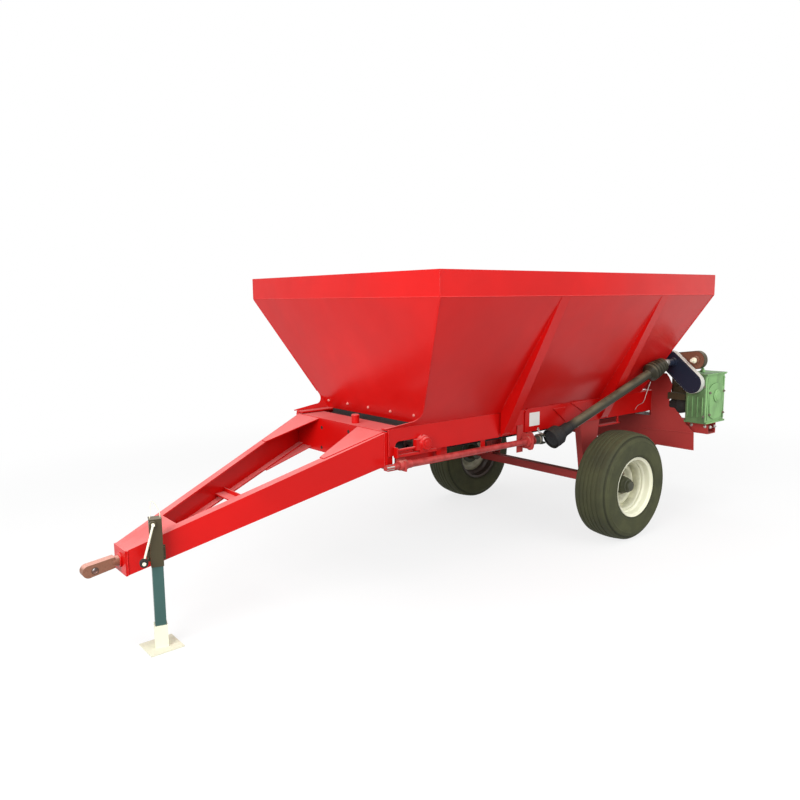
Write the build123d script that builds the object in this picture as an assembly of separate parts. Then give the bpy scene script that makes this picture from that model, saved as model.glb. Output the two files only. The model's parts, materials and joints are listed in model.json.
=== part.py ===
"""Trailed hopper manure spreader: belt floor, A-frame drawbar, parking jack, twin spreading discs.

Millimetres. +X points forward to the hitch, +Y to the machine's left, +Z up.
Every piece is modelled with the chassis rails level, z = 0 at the foot of the wheels and x = 0 near the
middle of the hopper. At the end the machine is pitched nose up about its axle, as it parks on its jack,
and moved so that its origin is the centre of its outline on the ground.
"""
import math
import os

from build123d import *

# ---------------------------------------------------------------- driving sizes
seam = 0.3                    # gap left where two flat pieces of the same body meet
parked_pitch = 1.42           # degrees, nose up

# hopper
rim_front_x = 1445
rim_rear_x = -1477
rim_half_width = 1075
rim_top_z = 2013
band_height = 153             # upright band round the rim
band_lip = 25                 # inward lip on top of the band
wall = 4                      # sheet of the walls and the band
mouth_front_x = 1128          # where the front wall ends over the belt
mouth_rear_x = -1323
mouth_half_width = 542
cheek_nose_x = 1425           # forward tip of each side wall
cheek_rise = 105              # height at which the side wall's front edge starts to sweep forward
cheek_sweep = 40              # how far behind the sweep's end the side wall's corner line lies

# chassis
rail_top_z = 1046
rail_height = 172
rail_flange = 57
rail_web = 8
rail_flange_thick = 10
rail_outer_y = 537
rail_front_x = 1400
rail_rear_x = -1640
side_plate = 8
front_plate_rear_x = 412      # foot of the slanted rear end of the front side plate
front_plate_slant = 45
rear_plate_front_x = 139
deck_drop = 16                # deck below the rail top
deck_front_x = 1412
deck_rear_x = 1215
deck_thick = 6
front_web_height = 238
post_radius = 26
post_height = 50
post_place = (1346, 115)

# ribs on the side walls
rib_centres_x = (353, -790)
rib_width = 88
rib_sheet = 3
rib_foot_y = 574
rib_foot_z = 905
rib_toe_z = 880

# drawbar
beam_root = (1412, 520)           # x, y of the left beam's outer face at the chassis
beam_nose = (2893, 91)            # the same at the end plate
beam_root_z = (812, 1022)         # foot and top of the beams at the chassis
beam_nose_z = (342, 485)          # and at the end plate
beam_flange = 65
beam_web = 8
beam_flange_thick = 10
gusset_reach = 367
gusset_inner_y = 230              # inner corner of the upper gussets at the chassis
lower_gusset_inner_y = 343
gusset_thick = 6
bracket_x = (2107, 2185)          # shelf between the beams
bracket_height = 32
bracket_sheet = 8
nose_length = 283                 # plates that close the beams behind the end plate
nose_sheet = 8
nose_plate = 12
eye_pivot_z = 412                 # swivel axis
eye_z = 390                       # the eye's hole
eye_hole_x = 3050
eye_tip_x = 3117
eye_height = 70
eye_thick = 56
eye_bore = 30
pivot_bore = 40               # swivel shaft in the nose plate
pivot_clearance = 0.05        # on the radius, for shafts in their bores

# jack
jack_x = 2757
jack_standoff = 5                 # between the left beam and the sleeve
jack_tube = 68
jack_tube_wall = 3.5
jack_top_z = 664
jack_tube_bottom_z = 394
jack_leg = 60
jack_screw_radius = 12
jack_engagement = 90              # how far the leg reaches up into the sleeve when parked
jack_leg_wall = 4
jack_foot_size = 190
jack_foot_thick = 8
jack_socket_height = 135
jack_socket_wall = 5.5
jack_cap = 6
crank_reach = (73, 24)            # grip forward along the beam and outward of the sleeve
crank_drop = 226
crank_pin = (14, 26, 24)          # forward, outward of the sleeve's face, below its top
crank_wire = 6
crank_grip_radius = 20

# axle and wheels
axle_x = -635.5
wheel_radius = 416
tyre_width = 296
track = 1671
axle_tube = 64
axle_tube_wall = 6
axle_tube_half_length = 640
stub_radius = 25
leg_outer_y = 537
leg_depth = 57
leg_top_x = (-130, 120)       # folded legs, behind and ahead of the axle at the rail
leg_foot_half = 50
leg_sheet = 8
rim_flange_radius = 230
bead_radius = 212
rim_width = 282
rim_sheet = 5
disc_offset = -20             # wheel disc inboard of the wheel's middle
disc_sheet = 8
hub_radius = 62
hub_flange_radius = 102
hub_length = 200
stud_count = 6
stud_circle_radius = 80

# belt floor
drum_front_x = 1127
drum_rear_x = -1530
drum_radius = 85
belt_thick = 8
belt_drop = (23, 13)          # belt below the rail's top, front and rear
belt_half_width = 460
drum_half_length = 450
drum_wall = 8
drum_shaft_radius = 22
bearing_radius = 36
coupling_radius = 32            # coupling from the gearbox to the rear drum
coupling_guard_radius = 58
coupling_guard_length = 84
slot_x = (1065, 1350)           # slot in which the front drum's bearings slide
slot_half = 33
takeup_radius = 52
takeup_guide_rear = 108         # how far the bearing's guide runs on behind it

# driveline on the left side
shaft_y = 600
shaft_z = 822
shaft_radius = 21
bearing_block_radius = 30
shaft_front_x = 1395
shaft_rear_x = 90
input_stub_radius = 17.45
input_stub_length = 76
hanger_x = 160
front_bearing_x = 1330
guard_front_x = -36
guard_front_offset = (40, -7)     # y and z of the guard's mouth from the side shaft
input_z = 1312                    # chain case's input
joint_ahead = 128                 # guarded shaft's rear joint ahead of the chain case
guard_radius = 36
guard_wall = 6
guard_gap = 2                     # left between the guard and the hopper
bell_mouth_radius = 76
bell_neck_radius = 48
bell_length = 130
boot_profile = ((0, 54), (42, 62), (84, 68), (126, 72), (158, 71), (176, 48))   # forward from the joint, radius

# drive at the rear, left side; y values outward from the input axis
case_gap = 10.06                  # case behind the hopper's rear wall
case_thick = 55
case_upper_offset, case_upper_z = -35, 1316
case_lower_offset, case_lower_z = 163, 1150
case_radius = 84
cover_thick = 50
cover_outer_offset, cover_outer_z = 158, 1332
cover_inner_offset, cover_inner_z = -47, 1306
cover_radius = 72
gearbox_behind = 62               # gearbox's front behind the case's
gearbox_length = 293
gearbox_offset = 80
gearbox_width = 183
gearbox_z = (815, 1220)
gearbox_wall = 12
outrigger_length = 120
outrigger_height = 92
outrigger_sheet = 6

# spreading discs and their frame
baffle_x = -1488
baffle_sheet = 4
# y outward from the gearbox's inner face, z
baffle_outline = ((79, 580), (73, 728), (-10, 806), (-72, 883), (-160, 960), (-147, 1040), (-137, 1113),
                  (-171, 1176), (-193, 1203))
baffle_inner_y = 600
baffle_notch_z = 825
baffle_step = (460, 1050)       # inner y and lowest z of the part above the rail
drop_arm_x = (-1640, -1565)
rear_tube = 60
rear_tube_z = 550
spinner_x = -1850
spinner_y = 300
spinner_radius = 265
spinner_disc_z = 745
spinner_sheet = 6
vane_height = 45
vane_count = 4

# gate on the rear wall
gate_half_width = 440
gate_height = 290
gate_sheet = 5
gate_opening_half_width = 420
gate_opening_height = 250

# ---------------------------------------------------------------- places worked out from the sizes
band_bottom_z = rim_top_z - band_height
mouth_z = rail_top_z + seam
hopper_depth = band_bottom_z - mouth_z
side_lean = (rim_half_width - mouth_half_width) / hopper_depth     # sideways run for each unit of height
front_lean = (rim_front_x - mouth_front_x) / hopper_depth
rear_lean = (mouth_rear_x - rim_rear_x) / hopper_depth
rail_bottom_z = rail_top_z - rail_height
plate_outer_y = rail_outer_y + side_plate
deck_z = rail_top_z - deck_drop
beam_yaw = math.atan2(beam_root[1] - beam_nose[1], beam_nose[0] - beam_root[0])
belt_reach = drum_radius + seam + belt_thick
drum_front = (drum_front_x, rail_top_z - belt_drop[0] - belt_reach + seam)     # x, z of its axis
drum_rear = (drum_rear_x, rail_top_z - belt_drop[1] - belt_reach + seam)
nose_front_x = beam_nose[0]
jack_y = (beam_root[1] - math.tan(beam_yaw) * (jack_x - beam_root[0])
          + (jack_tube / 2 + jack_standoff) / math.cos(beam_yaw))


def side_y(z):
    """Outer face of a side wall at height z."""
    return mouth_half_width + side_lean * (z - mouth_z)


def front_x(z):
    """Outer face of the front wall at height z."""
    return mouth_front_x + front_lean * (z - mouth_z)


def rear_x(z):
    """Outer face of the rear wall at height z."""
    return mouth_rear_x - rear_lean * (z - mouth_z)


def clear_input_y():
    """How far out the chain case's input must be for the guard to pass the rear rib and the side wall."""
    front_y, front_z = shaft_y + guard_front_offset[0], shaft_z + guard_front_offset[1]
    rib_x = rib_centres_x[1] - rib_width / 2
    share = (guard_front_x - rib_x) / (guard_front_x - guard_joint_x)
    slope = (side_y(band_bottom_z) - rib_foot_y) / (band_bottom_z - rib_foot_z)
    rib_y = rib_foot_y + slope * (front_z + share * (input_z - front_z) - rib_foot_z)
    past_rib = rib_y + (guard_radius + guard_gap) * math.hypot(1, slope)
    past_wall = side_y(input_z) + (boot_profile[0][1] + guard_gap) * math.hypot(1, side_lean)
    return max(front_y + (past_rib - front_y) / share, past_wall)


case_front_x = rear_x(case_upper_z + case_radius) - case_gap
guard_joint_x = case_front_x + joint_ahead
input_axis = (clear_input_y(), input_z)
case_upper = (input_axis[0] + case_upper_offset, case_upper_z)      # y, z
case_lower = (input_axis[0] + case_lower_offset, case_lower_z)
cover_outer = (input_axis[0] + cover_outer_offset, cover_outer_z)
cover_inner = (input_axis[0] + cover_inner_offset, cover_inner_z)
gearbox_front_x = case_front_x - gearbox_behind
gearbox_rear_x = gearbox_front_x - gearbox_length
gearbox_y = (input_axis[0] + gearbox_offset, input_axis[0] + gearbox_offset + gearbox_width)


# ---------------------------------------------------------------- helpers
nodes = {}                    # node name: list of solids, rails level
ground_nodes = {}             # the same, already standing on the ground


def add(name, *shapes):
    """File the solids of the shapes under a node's name."""
    solids = []
    for shape in shapes:
        solids.extend(shape.solids())
    nodes.setdefault(name, []).extend(solids)


def mirrored(shape):
    """The same shape on the machine's other side."""
    return mirror(shape, about=Plane.XZ)


def block(x, y, z):
    """A box between the low and high values in x, y and z."""
    (x0, x1), (y0, y1), (z0, z1) = x, y, z
    centre = ((x0 + x1) / 2, (y0 + y1) / 2, (z0 + z1) / 2)
    return Pos(*centre) * Box(abs(x1 - x0), abs(y1 - y0), abs(z1 - z0))


def slab(points, thickness):
    """A flat sheet on an outline of 3-D points, thickened by a vector."""
    sheet = Face(Wire.make_polygon([Vector(*p) for p in points], close=True))
    way = Vector(*thickness)
    return Solid.extrude(sheet, way)


def profile_xz(points, y0, y1):
    """An outline in x and z carried from y0 to y1."""
    return slab([(x, y0, z) for x, z in points], (0, y1 - y0, 0))


def profile_yz(points, x0, x1):
    """An outline in y and z carried from x0 to x1."""
    return slab([(x0, y, z) for y, z in points], (x1 - x0, 0, 0))


def bar(start, end, radius, bore=0):
    """A round bar or tube between two points."""
    start, end = Vector(*start), Vector(*end)
    reach = end - start
    plane = Plane(origin=start, z_dir=reach)
    solid = extrude(plane * Circle(radius), amount=reach.length)
    if bore:
        solid -= extrude(plane * Circle(bore), amount=reach.length)
    return solid


def cone(start, end, start_radius, end_radius):
    """A straight cone frustum between two points."""
    start, end = Vector(*start), Vector(*end)
    reach = end - start
    frustum = Cone(start_radius, end_radius, reach.length, align=(Align.CENTER, Align.CENTER, Align.MIN))
    return Plane(origin=start, z_dir=reach).location * frustum


def square_tube(x, y, z0, z1, size, sheet):
    """An upright square tube."""
    half, inner = size / 2, size / 2 - sheet
    outer = block((x - half, x + half), (y - half, y + half), (z0, z1))
    return outer - block((x - inner, x + inner), (y - inner, y + inner), (z0 - 1, z1 + 1))


def stadium(ends, radius, x0, x1):
    """A plate with two round ends, its ends given in y and z, from x0 to x1."""
    (ya, za), (yb, zb) = ends
    reach = Vector(0, yb - ya, zb - za)
    across = Vector(1, 0, 0).cross(reach.normalized()) * radius
    a, b = Vector(x0, ya, za), Vector(x0, yb, zb)
    along = reach.normalized() * radius
    outline = Wire([
        Edge.make_line(a + across, b + across),
        Edge.make_three_point_arc(b + across, b + along, b - across),
        Edge.make_line(b - across, a - across),
        Edge.make_three_point_arc(a - across, a - along, a + across),
    ])
    return Solid.extrude(Face(outline), Vector(x1 - x0, 0, 0))


def turned_y(profile, centre):
    """A profile of (radius, y) points turned about the wheel axis through centre."""
    x, y, z = centre
    outline = Polyline(*[(r, v, 0) for r, v in profile], close=True)
    ring = revolve(make_face(outline), Axis.Y, 360)
    return Pos(x, y, z) * ring


# ---------------------------------------------------------------- hopper
def build_walls():
    """Four leaning walls; the side walls run past the front wall and sweep forward at the foot."""
    lean = math.hypot(1, side_lean)
    inward = (0, -wall / lean, wall * side_lean / lean)
    top_z = band_bottom_z + wall
    turn_z = mouth_z + cheek_rise
    turn = Vector(front_x(turn_z), side_y(turn_z), turn_z)
    foot_z = mouth_z + 30
    foot = Vector(turn.X + cheek_rise - cheek_sweep, side_y(foot_z), foot_z)
    middle_z = mouth_z + 47
    middle = Vector(turn.X + 14, side_y(middle_z), middle_z)
    corner = Vector(front_x(top_z), side_y(top_z), top_z)
    rear_corner = Vector(rear_x(top_z), side_y(top_z), top_z)
    rear_foot = Vector(mouth_rear_x, mouth_half_width, mouth_z)
    tip_low = Vector(cheek_nose_x, mouth_half_width, mouth_z)
    tip_z = mouth_z + 6
    tip_high = Vector(cheek_nose_x, side_y(tip_z), tip_z)
    edges = [
        Edge.make_line(corner, turn),
        Edge.make_three_point_arc(turn, middle, foot),
        Edge.make_line(foot, tip_high),
        Edge.make_line(tip_high, tip_low),
        Edge.make_line(tip_low, rear_foot),
        Edge.make_line(rear_foot, rear_corner),
        Edge.make_line(rear_corner, corner),
    ]
    left = Solid.extrude(Face(Wire(edges)), Vector(*inward))
    left -= block((rim_rear_x - 200, cheek_nose_x + 200), (0, 2 * rim_half_width),
                  (band_bottom_z - seam, band_bottom_z + 10 * wall))
    add("hopper_left_wall", left)
    add("hopper_right_wall", mirrored(left))

    inner = wall * lean + seam
    for name, x_at, slope, sign in (("hopper_front_wall", front_x, front_lean, 1),
                                    ("hopper_rear_wall", rear_x, rear_lean, -1)):
        tilt = math.hypot(1, slope)
        top = band_bottom_z - wall * slope / tilt - seam
        outline = [
            (x_at(mouth_z), -side_y(mouth_z) + inner, mouth_z),
            (x_at(mouth_z), side_y(mouth_z) - inner, mouth_z),
            (x_at(top), side_y(top) - inner, top),
            (x_at(top), -side_y(top) + inner, top),
        ]
        sheet = slab(outline, (-sign * wall / tilt, 0, wall * slope / tilt))
        if sign < 0:
            sheet -= block((rim_rear_x, mouth_rear_x + 60),
                           (-gate_opening_half_width, gate_opening_half_width),
                           (mouth_z - 10, mouth_z + gate_opening_height))
        add(name, sheet)


def build_band():
    """Upright band round the rim with a narrow lip folded inwards on top."""
    z0, z1 = band_bottom_z, rim_top_z
    y = rim_half_width
    side = profile_yz([(y, z0), (y, z1), (y - band_lip, z1), (y - band_lip, z1 - wall),
                       (y - wall, z1 - wall), (y - wall, z0)], rim_rear_x, rim_front_x)
    add("rim_band_left", side)
    add("rim_band_right", mirrored(side))
    for name, x, inward in (("rim_band_front", rim_front_x, -1), ("rim_band_rear", rim_rear_x, 1)):
        upright = block((x, x + inward * wall), (-y + wall + seam, y - wall - seam), (z0, z1 - wall - seam))
        upright += block((x, x + inward * wall), (-y + band_lip + seam, y - band_lip - seam), (z1 - 2 * wall, z1))
        lip = block((x, x + inward * band_lip), (-y + band_lip + seam, y - band_lip - seam), (z1 - wall, z1))
        add(name, upright + lip)


def build_ribs():
    """Folded ribs, of no depth at the rim and deepest at the rail, two on each side."""
    clear = 2 * seam
    top_y = side_y(band_bottom_z - 2) + clear
    inner_y = plate_outer_y + seam
    outline = [(top_y, band_bottom_z - 2), (rib_foot_y, rib_foot_z), (plate_outer_y + 12, rib_toe_z),
               (inner_y, rib_toe_z), (inner_y, mouth_z + (inner_y - clear - mouth_half_width) / side_lean)]
    for centre in rib_centres_x:
        x0, x1 = centre - rib_width / 2, centre + rib_width / 2
        solid = profile_yz(outline, x0, x1)
        inset = rib_sheet + 1
        hollow = [(y - inset, z) for y, z in outline]
        hollow[2] = (hollow[2][0] - 10, rib_toe_z - 40)
        hollow[3] = (hollow[3][0] - 10, rib_toe_z - 40)
        solid -= profile_yz(hollow, x0 + rib_sheet, x1 - rib_sheet)
        solid = max(solid.solids(), key=lambda s: s.volume)
        add("ribs_left", solid)
        add("ribs_right", mirrored(solid))


# ---------------------------------------------------------------- chassis
def build_chassis():
    """Two channel rails, their side plates, the front cross-member and the tubes between them."""
    y0, y1 = rail_outer_y - rail_web - rail_flange, rail_outer_y
    z0, z1 = rail_bottom_z, rail_top_z
    slot = Pos(sum(slot_x) / 2, 0, drum_front[1]) * Rot(90, 0, 0) * extrude(
        SlotOverall(slot_x[1] - slot_x[0], 2 * slot_half), amount=2000, both=True)
    rear_bore = bar((drum_rear[0], -700, drum_rear[1]), (drum_rear[0], 700, drum_rear[1]), 34)
    channel = [(y0, z0), (y1, z0), (y1, z1), (y0, z1), (y0, z1 - rail_flange_thick),
               (y1 - rail_web, z1 - rail_flange_thick), (y1 - rail_web, z0 + rail_flange_thick),
               (y0, z0 + rail_flange_thick)]
    rail = profile_yz(channel, rail_rear_x, rail_front_x) - slot - rear_bore
    add("rail_left", rail)
    add("rail_right", mirrored(rail))

    front = profile_xz([(front_plate_rear_x, z0), (rail_front_x, z0), (rail_front_x, z1),
                        (front_plate_rear_x + front_plate_slant, z1)], y1 + seam, plate_outer_y) - slot
    corner = 30
    rear = profile_xz([(rail_rear_x, z0), (rear_plate_front_x, z0), (rear_plate_front_x, z1 - corner),
                       (rear_plate_front_x - corner / 3, z1 - corner / 3),
                       (rear_plate_front_x - corner, z1), (rail_rear_x, z1)],
                      y1 + seam, plate_outer_y) - rear_bore
    for plate in (front, rear):
        add("side_plates_left", plate)
        add("side_plates_right", mirrored(plate))

    web_y = rail_outer_y - rail_web - rail_flange - seam
    bottom = deck_z - front_web_height
    member = profile_xz([(deck_rear_x, deck_z), (deck_rear_x, deck_z - deck_thick),
                         (deck_front_x - 8, deck_z - deck_thick), (deck_front_x - 8, bottom + 8),
                         (deck_front_x - 60, bottom + 8), (deck_front_x - 60, bottom),
                         (deck_front_x, bottom), (deck_front_x, deck_z)], -web_y, web_y)
    ends = block((rail_front_x + seam, deck_front_x), (-rail_outer_y, rail_outer_y), (bottom, deck_z))
    add("front_crossmember", member + ends)
    px, py = post_place
    add("deck_post", bar((px, py, deck_z + seam), (px, py, deck_z + post_height), post_radius))

    tube_z = (drum_front[1] - 30, drum_front[1] + 30)
    inner = rail_outer_y - rail_web - seam
    for x in (640, -200, -1050):
        add("cross_tubes", block((x - 30, x + 30), (-inner, inner), tube_z))
    seal_top = mouth_z - seam
    seal_foot = drum_front[1] + belt_reach + 2 * seam
    add("front_seal", block((mouth_front_x - 4, mouth_front_x + 4), (-470, 470), (seal_foot, seal_top)))


# ---------------------------------------------------------------- drawbar and hitch
def beam_line_y(x):
    """Outer face of the left beam, seen from above."""
    return beam_root[1] - math.tan(beam_yaw) * (x - beam_root[0])


def beam_level(x, end):
    """Height of the beams' foot (end 0) or top (end 1)."""
    fall = (beam_root_z[end] - beam_nose_z[end]) / (beam_nose[0] - beam_root[0])
    return beam_root_z[end] - fall * (x - beam_root[0])


def beam_wedge(x0, x1, low, high, y0, y1):
    """The space along the left beam, low and high up from its foot and down from its top, y0 to y1 inward."""
    side = profile_xz([(x0, beam_level(x0, 0) + low), (x1, beam_level(x1, 0) + low),
                       (x1, beam_level(x1, 1) - high), (x0, beam_level(x0, 1) - high)], -800, 800)
    stretch = 1 / math.cos(beam_yaw)
    plan = slab([(x0, beam_line_y(x0) - y0 * stretch, 0), (x1, beam_line_y(x1) - y0 * stretch, 0),
                 (x1, beam_line_y(x1) - y1 * stretch, 0), (x0, beam_line_y(x0) - y1 * stretch, 0)], (0, 0, 1500))
    return side & plan


def build_drawbar():
    """A-frame beams, the nose that closes them, the gussets at the chassis and the bracket between them."""
    x0, x1 = beam_root[0] + seam, nose_front_x - seam
    t = beam_flange_thick
    beam = beam_wedge(x0, x1, 0, 0, 0, beam_flange)
    beam -= beam_wedge(x0 - 50, x1 + 50, t, t, beam_web, beam_flange + 1)
    add("drawbar_beam_left", beam)
    add("drawbar_beam_right", mirrored(beam))

    xn, xf = nose_front_x - nose_length, nose_front_x + 1
    inward = (beam_flange + seam) / math.cos(beam_yaw)
    between = slab([(xn, beam_line_y(xn) - inward, 0), (xf, beam_line_y(xf) - inward, 0),
                    (xf, inward - beam_line_y(xf), 0), (xn, inward - beam_line_y(xn), 0)], (0, 0, 1500))
    half = beam_nose[1] + 1
    nose = block((nose_front_x, nose_front_x + nose_plate), (-half, half),
                 (beam_nose_z[0] - 3, beam_nose_z[1]))
    for end, up in ((0, nose_sheet), (1, -nose_sheet)):
        za, zb = beam_level(xn, end), beam_level(xf, end)
        nose += profile_xz([(xn, za), (xf, zb), (xf, zb + up), (xn, za + up)], -half * 3, half * 3) & between
    pivot = bar((nose_front_x - 60, 0, eye_pivot_z), (nose_front_x + 60, 0, eye_pivot_z),
                pivot_bore / 2 + pivot_clearance)
    add("drawbar_nose", nose - pivot)

    xg = beam_root[0] + gusset_reach
    outer_root, outer_tip = beam_root[1] - 0.3 * beam_flange, beam_line_y(xg) - 0.4 * beam_flange
    inner_tip = beam_line_y(xg) - 1.15 * beam_flange
    for end, inner_y, rise in ((1, gusset_inner_y, seam), (0, lower_gusset_inner_y, -seam - gusset_thick)):
        za, zb = beam_level(x0, end) + rise, beam_level(xg, end) + rise
        gusset = slab([(x0, inner_y, za), (x0, outer_root, za), (xg, outer_tip, zb), (xg, inner_tip, zb)],
                      (0, 0, gusset_thick))
        add("drawbar_gussets", gusset, mirrored(gusset))

    xa, xb, xc = bracket_x[0], bracket_x[0] + bracket_sheet, bracket_x[1]
    low = beam_level(xa, 0) + beam_flange_thick + seam

    def inside(x):
        return beam_line_y(x) - (beam_web + seam) / math.cos(beam_yaw)

    shelf = slab([(xa, -inside(xa), low), (xc, -inside(xc), low), (xc, inside(xc), low),
                  (xa, inside(xa), low)], (0, 0, bracket_sheet))
    upright = slab([(xa, -inside(xa), low), (xb, -inside(xb), low), (xb, inside(xb), low),
                    (xa, inside(xa), low)], (0, 0, bracket_height))
    add("drawbar_bracket", shelf + upright)


def build_eye():
    """Forged towing eye on a swivel shaft that turns in the end plate; the eye hangs a little below it."""
    half, thick = eye_height / 2, eye_thick / 2
    face = nose_front_x + nose_plate
    z = eye_pivot_z
    heel = face + 34
    head = profile_xz([(heel, z - half + 4), (eye_tip_x - half, eye_z - half),
                       (eye_tip_x - half, eye_z + half), (heel, z + half - 4)], -thick, thick)
    tip = bar((eye_tip_x - half, -thick, eye_z), (eye_tip_x - half, thick, eye_z), half)
    neck = bar((face + seam, 0, z), (heel + 16, 0, z), 1.5 * pivot_bore / 2)
    shaft = bar((nose_front_x - 34, 0, z), (face + 10, 0, z), pivot_bore / 2)
    nut = bar((nose_front_x - 36, 0, z), (nose_front_x - seam, 0, z), 1.6 * pivot_bore / 2)
    bore = bar((eye_hole_x, -100, eye_z), (eye_hole_x, 100, eye_z), eye_bore / 2)
    add("hitch_eye", head + tip + neck + shaft + nut - bore)


# ---------------------------------------------------------------- jack
def at_jack(shape):
    """Turn a shape drawn about the z axis parallel to the left beam, and stand it at the jack's place."""
    return Pos(jack_x, jack_y, 0) * Rot(0, 0, -math.degrees(beam_yaw)) * shape


def build_jack():
    """Screw jack on the left beam: sleeve with its bottom collar and screw, bracket and crank."""
    half = jack_tube / 2
    foot, top = jack_tube_bottom_z, jack_top_z
    sleeve = square_tube(0, 0, foot, top, jack_tube, jack_tube_wall)
    sleeve += block((-half, half), (-half, half), (top - jack_cap, top))
    sleeve += square_tube(0, 0, foot, foot + 25, jack_tube - 2, jack_tube / 2 - 1 - jack_leg / 2 - seam)
    sleeve += bar((0, 0, foot + 20), (0, 0, top - jack_cap / 2), jack_screw_radius)
    plate_z = (foot + 16, foot + 101)
    sleeve += block((-1.5 * half, 1.5 * half), (-half - jack_standoff + seam, -half + 1), plate_z)
    add("jack_sleeve", at_jack(sleeve))
    pin_x, pin_z = crank_pin[0], top - crank_pin[2]
    pin_end = half + crank_pin[1]
    grip = Vector(crank_reach[0], half + crank_reach[1], top - crank_drop)
    crank = bar((pin_x, half + seam, pin_z), (pin_x, pin_end, pin_z), 1.5 * crank_wire)
    crank += bar((pin_x, pin_end - crank_wire - 1, pin_z), grip, crank_wire)
    crank += bar((grip.X, grip.Y - 8, grip.Z), (grip.X, grip.Y + 28, grip.Z), crank_grip_radius)
    add("jack_crank", at_jack(crank))


def build_jack_leg():
    """Leg tube with the nut that runs on the screw."""
    nut_top = jack_tube_bottom_z + jack_engagement
    leg = square_tube(0, 0, socket_top_z() - 40, nut_top, jack_leg, jack_leg_wall)
    guide = jack_tube / 2 - jack_tube_wall - seam
    nut = block((-guide, guide), (-guide, guide), (nut_top - 30, nut_top))
    nut -= bar((0, 0, nut_top - 60), (0, 0, nut_top + 10), jack_screw_radius + pivot_clearance)
    add("jack_leg", at_jack(leg + nut))


def socket_top_z():
    """Height of the foot socket's top, in the level machine."""
    ground = wheel_radius - (jack_x - axle_x) * math.sin(math.radians(parked_pitch)) - wheel_radius
    return ground + jack_socket_height


def build_jack_foot():
    """The foot plate lies flat on the ground; the socket follows the leaning leg."""
    top = socket_top_z()
    size = jack_leg + 2 * jack_socket_wall + 2 * seam
    socket = at_jack(square_tube(0, 0, top - jack_socket_height + 6, top, size, jack_socket_wall))
    middle = (park_location() * Pos(jack_x, jack_y, top - jack_socket_height)).position
    half = jack_foot_size / 2
    plate = block((middle.X - half, middle.X + half), (jack_y - half, jack_y + half), (0, jack_foot_thick))
    standing = park_location() * socket
    standing = standing & block((middle.X - 200, middle.X + 200), (-100, 400), (jack_foot_thick / 2, 1000))
    ground_nodes["jack_foot"] = (plate + standing).solids()


# ---------------------------------------------------------------- axle and wheels
def build_axle():
    """Square axle tube with turned stubs, hung from the rails by two folded legs."""
    half = axle_tube / 2
    z = wheel_radius
    tube = block((axle_x - half, axle_x + half), (-axle_tube_half_length, axle_tube_half_length),
                 (z - half, z + half))
    wall_in = half - axle_tube_wall
    tube -= block((axle_x - wall_in, axle_x + wall_in),
                  (-axle_tube_half_length + 20, axle_tube_half_length - 20), (z - wall_in, z + wall_in))
    stub_end = track / 2 + disc_offset + 60
    stub = bar((axle_x, -stub_end, z), (axle_x, stub_end, z), stub_radius)
    core = block((axle_x - half + 1, axle_x + half - 1), (-axle_tube_half_length + 18,
                 axle_tube_half_length - 18), (z - half + 1, z + half - 1))
    add("axle_beam", tube + (stub - core))

    top, foot = rail_bottom_z - seam, z + half + seam
    rear, front, w = axle_x + leg_top_x[0], axle_x + leg_top_x[1], leg_foot_half
    outline = [(rear, top), (front, top), (axle_x + w, foot), (axle_x - w, foot)]
    inner = [(rear + leg_sheet, top + 1), (front - leg_sheet, top + 1),
             (axle_x + w - leg_sheet, foot - 1), (axle_x - w + leg_sheet, foot - 1)]
    leg = profile_xz(outline, leg_outer_y - leg_depth, leg_outer_y)
    leg -= profile_xz(inner, leg_outer_y - leg_depth - 1, leg_outer_y - leg_sheet)
    add("axle_legs", leg, mirrored(leg))


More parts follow.
